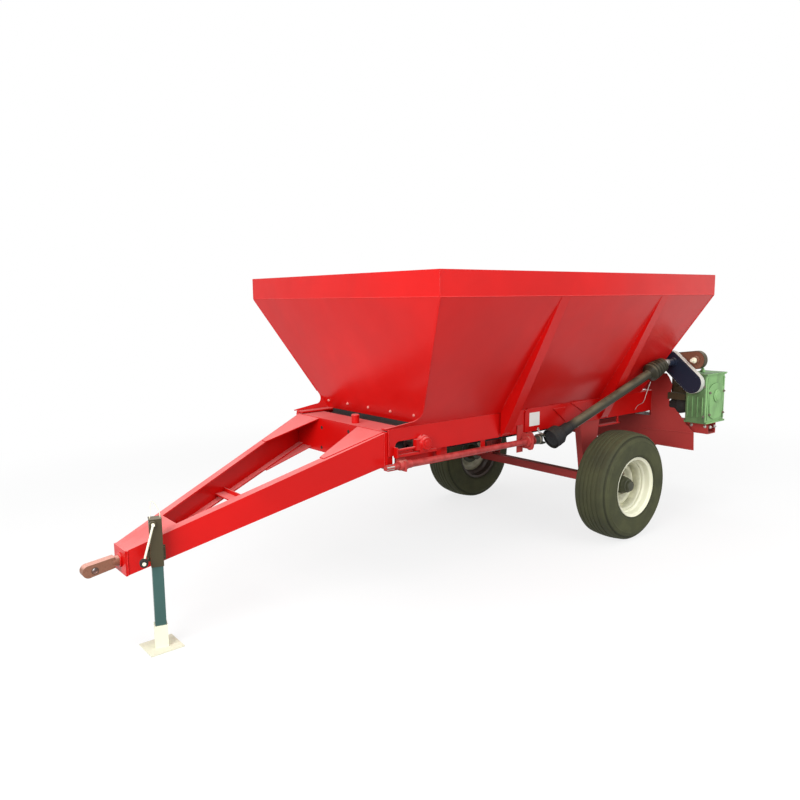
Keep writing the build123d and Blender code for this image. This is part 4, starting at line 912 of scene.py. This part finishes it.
# ---- driveline
GUARD_MOUTH = SHAFT * (0, 1, 1) + (-0.036, 0.04, -0.007)
GUARD_REAR = np.array([-1.272, 0.7918, 1.312])
GUARD_BELL = mm(71.5, 4, 74.5, 0, 76.5, 2, 77, 12, 75, 18, 73.5, 24, 76.5, 30, 77, 48, 74.5, 54, 73, 60, 75, 66,
                74.5, 80, 70, 88, 61, 96, 54, 103, 50, 108, 49, 116, 47, 126, 46, 150, 45, 158, 45.5, 166, 45.5, 186,
                40, 190, 37, 194, 36.2, 200)
GUARD_BOOT = mm(36.2, 186, 43, 182, 48, 176, 64, 170, 72.5, 160, 73, 146, 65.5, 140, 64, 134, 72, 128, 72, 112,
                63, 106, 61.5, 100, 69, 94, 68.5, 78, 59.5, 72, 58, 66, 65, 60, 64, 44, 55.5, 38, 54, 32, 60, 26,
                59, 8, 56, 0, 30.2, 0)  # distance measured back from the guard's rear end
GUARD_INSIDE = mm(30.2, 140, 44, 124, 64, 50, 69, 20)
FLANGE_X, FLANGE_BOLT = 0.14, 0.052


class SPREADER_OT_driveline(bpy.types.Operator):
    """Ribbed guard, safety chains, flange bearings, splines and yoke caps"""
    bl_idname = "spreader.driveline"
    bl_label = "Driveline"

    def execute(self, context):
        way = GUARD_REAR - GUARD_MOUTH
        end, ahead = np.linalg.norm(way) - 0.03, unit(way)
        profile = np.vstack([GUARD_BELL, GUARD_BOOT * (1, -1) + (0, end), GUARD_INSIDE])
        guard = Shell().lathe(GUARD_MOUTH, way, profile, 72)
        guard.plug(GUARD_MOUTH, way, 40, .1, -6, 26, -4, 34, 2, 50, 4, 62, 12, 62, 24, .1, 30)
        guard.piece("ribbed_shaft_guard", "guard_black", smooth=32, replaces=["cardan_guard"])

        start = GUARD_MOUTH + ahead * 0.176 - Z * 0.0485
        path = [start, start + (0.03, -0.03, -0.05), (-0.02, 0.565, 0.85), (0.0, 0.549, 0.89)]
        chains = Shell().chain(smooth_line(path, 10), context.scene.spreader_sizes.link)
        start = GUARD_MOUTH + ahead * (end - 0.15) - Z * 0.076
        path = [start, start + (0.01, -0.02, -0.07), start + (0.0, -0.06, -0.17), (-1.17, 0.62, 0.955),
                (-1.24, 0.546, 0.9)]
        chains.tube(smooth_line(path, 10), 0.0028, 8)
        chains.piece("guard_chains", "bare_steel", "zinc", smooth=40)

        _, y, z = SHAFT
        angle = circle(48)
        lobes = lobed_line(FLANGE_X, (y, z), 0.034 + 0.034 * np.abs(np.sin(angle)) ** 2.2, angle)
        flanges = Shell().prism(lobes, X * 0.01)
        flanges.ring((FLANGE_X - 0.006, y, z), X, 36, 21.5, 0, 30, 0, 32, 3, 32, 22, 21.5, 22)
        flanges.ring((1.304, y, z), X, 36, 21.5, 0, 30, 0, 31.5, 3, 31.5, 58, 29, 63, 21.5, 63)
        flanges.piece("flange_bearings", "paint_red_dark")
        places = [(FLANGE_X - GAP, y, z + rise) for rise in (-FLANGE_BOLT, FLANGE_BOLT)]
        Shell().bolts(places, -X, 0.009).piece("flange_bolts", "bare_steel", "zinc")

        angle = circle(144)
        teeth = lobed_line(span("side_shaft")[1][0] - 0.06, (y, z), 0.016 + 0.0022 * (np.sin(6 * angle) > 0), angle)
        Shell().prism(teeth, X * 0.058).piece("input_splines", "bare_steel", body="side_shaft")
        yoke = Shell()
        for up in (Z, -Z):
            yoke.plug((0.018, y, z) + up * 0.034, up, 24, .1, 0, 15, 0, 15, 4, 12, 6, .1, 6)
        yoke.ring((0.052, y, z), X, 36, 33, 0, 36, 3, 36, 12, 33, 15)
        yoke.piece("yoke_caps", "bare_steel", "old_steel", "side_shaft")
        return {"FINISHED"}


# ---- rear drive
def stadium_line(centres, radius, x, count=24):
    """Closed outline round two centres in y and z, with the outward direction at each point."""
    first, second = np.asarray(centres, float)
    heading = math.degrees(math.atan2(*(second - first)[::-1]))
    outward = np.vstack([arc((0, 0), 1.0, heading - 90, heading + 90, count),
                         arc((0, 0), 1.0, heading + 90, heading + 270, count)])
    line = np.repeat([second, first], count, 0) + radius * outward
    return np.insert(line, 0, x, 1), np.insert(outward, 0, 0.0, 1)


CASE_CENTRES, CASE_RADIUS = ((0.7568, 1.316), (0.955, 1.15)), 0.084
CASE_BACK, CASE_FACE = -1.455, -1.4002
COVER_CENTRES, COVER_RADIUS, COVER_FRONT = ((0.95, 1.332), (0.745, 1.306)), 0.072, -1.465
BRACKET_OUTLINE = (-0.165, 1.003), (-0.002, 1.003), (-0.002, 1.225), (-0.06, 1.262), (-0.165, 1.262)
BRACKET_BOSSES = (-0.12, 1.12), (-0.055, 1.085), (-0.095, 1.2)


class SPREADER_OT_rear_drive(bpy.types.Operator):
    """Chain case edge, upper cover, gearbox cover, coupling bell, bracket, bolts and mount"""
    bl_idname = "spreader.rear_drive"
    bl_label = "Rear drive"

    def execute(self, context):
        edge = Shell().band(*stadium_line(CASE_CENTRES, CASE_RADIUS + 0.0002, CASE_BACK + 0.002), 0.05, 0.0022)
        edge.piece("chain_case_edge", "cream", "case_cream", smooth=40)
        face = Shell().band(*stadium_line(CASE_CENTRES, CASE_RADIUS - 0.012, CASE_FACE), 0.0035, 0.004)
        face.bolts(stadium_line(CASE_CENTRES, CASE_RADIUS - 0.024, CASE_FACE, 4)[0][1::2], X, 0.006)
        face.piece("chain_case_bead", "paint_navy", smooth=40)
        rim = Shell().band(*stadium_line(COVER_CENTRES, COVER_RADIUS + 0.0002, COVER_FRONT - 0.049), 0.05, 0.003)
        rim.piece("upper_cover_rim", "jack_olive", smooth=40)
        y, z = COVER_CENTRES[0]
        bearing = Shell().ring((COVER_FRONT + 0.0004, y, z), X, 44, 24.5, 0, 36, 0, 37, 3, 37, 10, 32, 13, 30, 20,
                               24.5, 20)
        bearing.piece("cover_bearing", "primer_brown")
        stub = Shell().plug((COVER_FRONT + 0.0265, y, z), X, 32, .1, 0, 24, 0, 24, 6, 14, 8, 14, 40, 12, 42, .1, 42)
        stub.piece("cover_stub", "cream", "plain_cream")
        self.gearbox()
        self.coupling()
        return {"FINISHED"}

    def gearbox(self):
        """Cover with a half-round head and sump, ribs, lid and bolts, sized by the gearbox."""
        (x0, y0, z0), (x1, y1, z1) = span("gearbox")
        side, left, right, foot, head = y1 - 0.0057, x0 + 0.03, x1 - 0.034, z0 + 0.055, z1 - 0.075
        middle, radius = (left + right) / 2, (right - left) / 2
        rise = radius * 0.55
        outline = np.vstack([arc((middle, head - rise), (radius, rise), 0, 180, 24),
                             arc((middle, foot + 0.02), (radius * 0.8, 0.045), 180, 360, 16)])
        cover = Shell().prism(np.insert(outline, 1, side, 1), Y * 0.009)
        cover.plug((middle, side + 0.0085, foot + 0.17), Y, 40, .1, 0, 55, 0, 52, 10, 40, 12, 38, 18, .1, 20)
        for x in (left, x1 - 0.03):
            cover.box((x - 0.009, side - 0.001, z0 + 0.03), (x + 0.009, side + 0.006, z1 - 0.03))
        cover.piece("gearbox_cover", "paint_green", smooth=35, bevel=0.003, segments=3)
        ribs = Shell()
        for y in np.linspace(y0 + 0.03, y1 - 0.035, 4):
            ribs.box((x1 - 0.005, y - 0.005, z0 + 0.05), (x1 + 0.005, y + 0.005, z0 + 0.22))
        ribs.box((x0 - 0.004, y0 + 0.004, z1 - 0.05), (x0 + 0.01, y1 - 0.01, z1 - 0.036))
        ribs.box((x0 - 0.008, y0 - 0.006, z1 - 0.004), (x1 + 0.006, y1 + 0.004, z1 + 0.004))
        place = ((x0 + x1) / 2, (y0 + y1) / 2 - 0.03, z1 + 0.003)
        ribs.plug(place, Z, 24, .1, 0, 20, 0, 20, 16, 12, 22, 12, 34, .1, 36)
        ribs.piece("gearbox_ribs_and_lid", "paint_green", smooth=35, bevel=0.002)
        heads = Shell()
        heads.bolts([(x, side + 0.009, z) for x in (left + 0.012, right - 0.012) for z in (foot + 0.02, head - 0.075)],
                    Y, 0.01)
        heads.bolts([(x0 + 0.005, y, z) for y in (y0 + 0.04, y1 - 0.04) for z in (z0 + 0.09, z1 - 0.11)], -X, 0.012)
        heads.bolts([(x1 - 0.003, y1 - 0.022, z) for z in (z0 + 0.06, z1 - 0.1)], X, 0.009)
        heads.piece("gearbox_bolts", "hub_dark", "old_steel")

    def coupling(self):
        """Bell on the rear drum's shaft, the bracket plate beside it, and the bolts of the gearbox mount."""
        x, _, z = middle_of("drum_rear")
        mouth = np.array([x, span("coupling_guard")[1][1], z])
        bell = Shell().ring(mouth, -Y, 48, 33.5, 0, 50, 0, 53, 6, 53, 20, 58, 26, 63, 48, 68.5, 70, 69, 78, 66, 83,
                            62, 76, 33.5, 30)
        bell.ring(mouth - Y * 0.074, -Y, 40, 33.5, 0, 47, 0, 48, 4, 48, 76, 44, 84, 33.5, 84)
        bell.piece("drum_coupling_bell", "guard_black", "dark", smooth=35, replaces=["coupling_guard"])
        x, y = x - 0.005, span("gearbox")[0][1]
        bracket = Shell().prism([(x, y + py, pz) for py, pz in BRACKET_OUTLINE], X * -0.008)
        bracket.box((x - 0.001, y - 0.165, 1.0035), (x + 0.054, y - 0.003, 1.045))
        bracket.box((x + 0.0535, y - 0.165, 0.99), (x + 0.06, y - 0.003, 1.045))
        for py, pz in BRACKET_BOSSES:
            bracket.plug((x - 0.001, y + py, pz), X, 24, .1, 0, 24, 0, 24, 12, 13, 16, 13, 26, .1, 26)
        bracket.piece("case_bracket", "jack_olive", smooth=35, bevel=0.0015)
        x, y, z = span("gearbox_mount")[1] + (0.0005, 0.0005, -0.03)
        bright = Shell().bolts([(x, py, z) for py in (0.9, 1.02)], X, 0.012)
        bright.bolts([(px, y, z - 0.005) for px in (-1.63, -1.56)], Y, 0.012)
        bright.piece("mount_bolts", "bare_steel", "zinc")


# ---- spreading gear and gate
class SPREADER_OT_spreader(bpy.types.Operator):
    """Disc bolts, gate handle and bolts, baffle flange and seams, belt cleats"""
    bl_idname = "spreader.spreader"
    bl_label = "Spreading gear"

    def execute(self, context):
        for side in WHEELS:
            node = "spinner_" + side
            base = middle_of(node) * (1, 1, 0) + Z * (span(node)[1][2] - 0.0449)
            heads = Shell()
            for a in np.radians((45, 135, 225, 315)):
                along, beside = np.array([math.cos(a), math.sin(a), 0]), np.array([-math.sin(a), math.cos(a), 0])
                heads.bolts([base + along * r + beside * 0.012 for r in (0.08, 0.22)], Z, 0.008)
            heads.piece("disc_bolts_" + side, "galvanised", "zinc", node)

        top = span("metering_gate")[1][2]
        grasp = [(0.12, -0.03, 0.03), (0.12, 0.02, 0.05), (0.1, 0.05, 0.055)]
        path = [on_rear(-y, top + rise, out) for y, rise, out in grasp]
        path = smooth_line(path + [point * FLIP for point in path[::-1]], 8)
        handle = Shell().tube(path, 0.007, 12, helper=unit([-1, 0.02, -0.3]))
        handle.piece("gate_handle", "paint_red_dark", body="metering_gate", smooth=40)
        places = [on_rear(0.463, z, 0.0115) for z in np.linspace(1.1, 1.55, 5)]
        guides = Shell().bolts(places, on_rear(0, 1, 1) - on_rear(0, 1, 0), 0.008)
        guides.mirror().piece("gate_guide_bolts", "bare_steel", "zinc")

        bead = context.scene.spreader_sizes.bead
        low, high = span("baffle")
        x = high[0]
        edge = Shell().weld((x + 0.001, PLATE_Y, 0.83), (x + 0.001, PLATE_Y, 0.99), bead)
        edge.weld((x, 0.452, 0.705), (x, 0.94, 0.725), bead).mirror()
        edge.box((x - 0.0002, low[1] + 0.004, low[2] + 0.002), (x + 0.014, high[1] - 0.004, low[2] + 0.008))
        edge.piece("baffle_lower_flange", "paint_red_dark")

        rear, front = MOUTH_REAR + 0.06, MOUTH_FRONT - 0.06
        cleats = Shell()
        for x in np.linspace(rear, front, 13):
            z = np.interp(x, (rear, front), (span("drum_rear")[1][2], span("drum_front")[1][2])) + 0.0077
            cleats.box((x - 0.012, -0.43, z), (x + 0.012, 0.43, z + 0.006))
        cleats.piece("belt_cleats", "rubber_black", bevel=0.002)
        return {"FINISHED"}


# ---- stage
CAMERA_PLACE = (3.6536, 4.1213, 1.9751)
CAMERA_YAW, CAMERA_PITCH, CAMERA_ROLL = -128.695, -8.718, -1.702
CAMERA_LENS, CAMERA_SENSOR = 33.33, 36.0
LAMPS = {"key": ((7.0, 2.5, 4.0), 5.0, 520), "fill": ((-1.0, 7.5, 4.5), 6.0, 330),
         "top": ((0.0, 0.0, 7.0), 7.0, 330)}  # place, size, power
LAMP_AIM = (0, 0, 0.9)
FLOOR_RADIUS, FLOOR_Z, FLOOR_SIDES = 14.0, -0.0006, 96
WHITE = {"Color": (1, 1, 1, 1), "Strength": 1.0}


def put(scene, thing, place, right, up, back):
    """Stands a camera or lamp at a place: its matrix columns are its right, up and backward directions."""
    item = bpy.data.objects.new(thing.name, thing)
    matrix = np.eye(4)
    matrix[:3] = np.column_stack([right, up, back, place])
    item.matrix_world = matrix.T.tolist()
    scene.collection.objects.link(item)
    return item


class SPREADER_OT_stage(bpy.types.Operator):
    """Pale floor that is clear from below, soft studio light, white background and the camera"""
    bl_idname = "spreader.stage"
    bl_label = "Stage"

    def execute(self, context):
        scene = context.scene
        scene.view_settings.view_transform = "Standard"
        self.camera(scene)
        self.world(scene)
        self.floor(scene)
        for name, (place, size, power) in LAMPS.items():
            light = bpy.data.lights.new(name, "AREA")
            light.size, light.energy = size, power
            back = unit(np.subtract(place, LAMP_AIM))
            put(scene, light, place, *across(back), back)
        return {"FINISHED"}

    def camera(self, scene):
        """Yaw and pitch aim the camera, roll turns it about its aim."""
        yaw, pitch, roll = (math.radians(a) for a in (CAMERA_YAW, CAMERA_PITCH, CAMERA_ROLL))
        aim = np.array([math.cos(pitch) * math.cos(yaw), math.cos(pitch) * math.sin(yaw), math.sin(pitch)])
        flat = unit(np.cross(aim, Z))
        right = math.cos(roll) * flat + math.sin(roll) * np.cross(flat, aim)
        data = bpy.data.cameras.new("camera")
        data.lens, data.sensor_width = CAMERA_LENS, CAMERA_SENSOR
        scene.camera = put(scene, data, CAMERA_PLACE, right, np.cross(right, aim), -aim)

    def world(self, scene):
        """White where it is seen, softer where it lights."""
        scene.world = bpy.data.worlds.new("studio")
        t = Tree(scene.world)
        light = t.node("Background", {"Color": (0.95, 0.97, 1.0, 1), "Strength": 0.42})
        mixed = t.node("MixShader", {0: t.seen(), 1: light, 2: t.node("Background", WHITE)})
        t.feed(t.nodes["World Output"].inputs["Surface"], mixed)

    def floor(self, scene):
        """A disc that is matt near the machine and fades to the white background further out."""
        angle = circle(FLOOR_SIDES)
        points = np.column_stack([FLOOR_RADIUS * np.cos(angle), FLOOR_RADIUS * np.sin(angle),
                                  np.full(FLOOR_SIDES, FLOOR_Z)])
        mesh = bpy.data.meshes.new("floor")
        mesh.from_pydata(points.tolist(), [], [list(range(FLOOR_SIDES))])
        floor = bpy.data.objects.new("floor", mesh)
        scene.collection.objects.link(floor)
        t = Finish("floor", (0.32, 0.32, 0.31))
        seen = t.seen()
        t.over(seen, (0.86, 0.86, 0.85))
        mesh.materials.append(t.finish(0.9, specular=0.1))
        x, y = t.axis(0), t.axis(1)
        far = (0.78 + ((x * x + y * y) ** 0.5).ramp(3.2, 6.5) * 0.22) * seen
        pale = t.node("MixShader", {0: far, 1: Value(t, t.shader.outputs[0]), 2: t.node("Emission", WHITE)})
        below = t.node("NewGeometry", output="Backfacing") * seen
        shown = t.node("MixShader", {0: below, 1: pale, 2: t.node("BsdfTransparent")})
        t.feed(t.nodes["Material Output"].inputs["Surface"], shown)


# ---- panel and run
STEPS = ("paint", "tyres", "wheels", "hopper", "chassis", "drawbar", "jack", "driveline", "rear_drive", "spreader",
         "stage")


class SPREADER_PT_panel(bpy.types.Panel):
    """Buttons and values of the spreader"""
    bl_idname = "SPREADER_PT_panel"
    bl_label = "Manure Spreader"
    bl_space_type = "VIEW_3D"
    bl_region_type = "UI"
    bl_category = "Spreader"

    def draw(self, context):
        for group in (context.scene.spreader_sizes, context.scene.spreader_colours):
            for name in group.bl_rna.properties.keys():
                if name not in ("rna_type", "name"):
                    self.layout.prop(group, name)
        for step in STEPS:
            self.layout.operator("spreader." + step)


CLASSES = (SpreaderSizes, SpreaderColours, SPREADER_OT_paint, SPREADER_OT_tyres, SPREADER_OT_wheels,
           SPREADER_OT_hopper, SPREADER_OT_chassis, SPREADER_OT_drawbar, SPREADER_OT_jack, SPREADER_OT_driveline,
           SPREADER_OT_rear_drive, SPREADER_OT_spreader, SPREADER_OT_stage, SPREADER_PT_panel)


def register():
    for cls in CLASSES:
        bpy.utils.register_class(cls)
    bpy.types.Scene.spreader_sizes = bpy.props.PointerProperty(type=SpreaderSizes)
    bpy.types.Scene.spreader_colours = bpy.props.PointerProperty(type=SpreaderColours)


def unregister():
    del bpy.types.Scene.spreader_colours
    del bpy.types.Scene.spreader_sizes
    for cls in reversed(CLASSES):
        bpy.utils.unregister_class(cls)


def main():
    register()
    for step in STEPS:
        getattr(bpy.ops.spreader, step)()


if __name__ == "__main__":
    main()
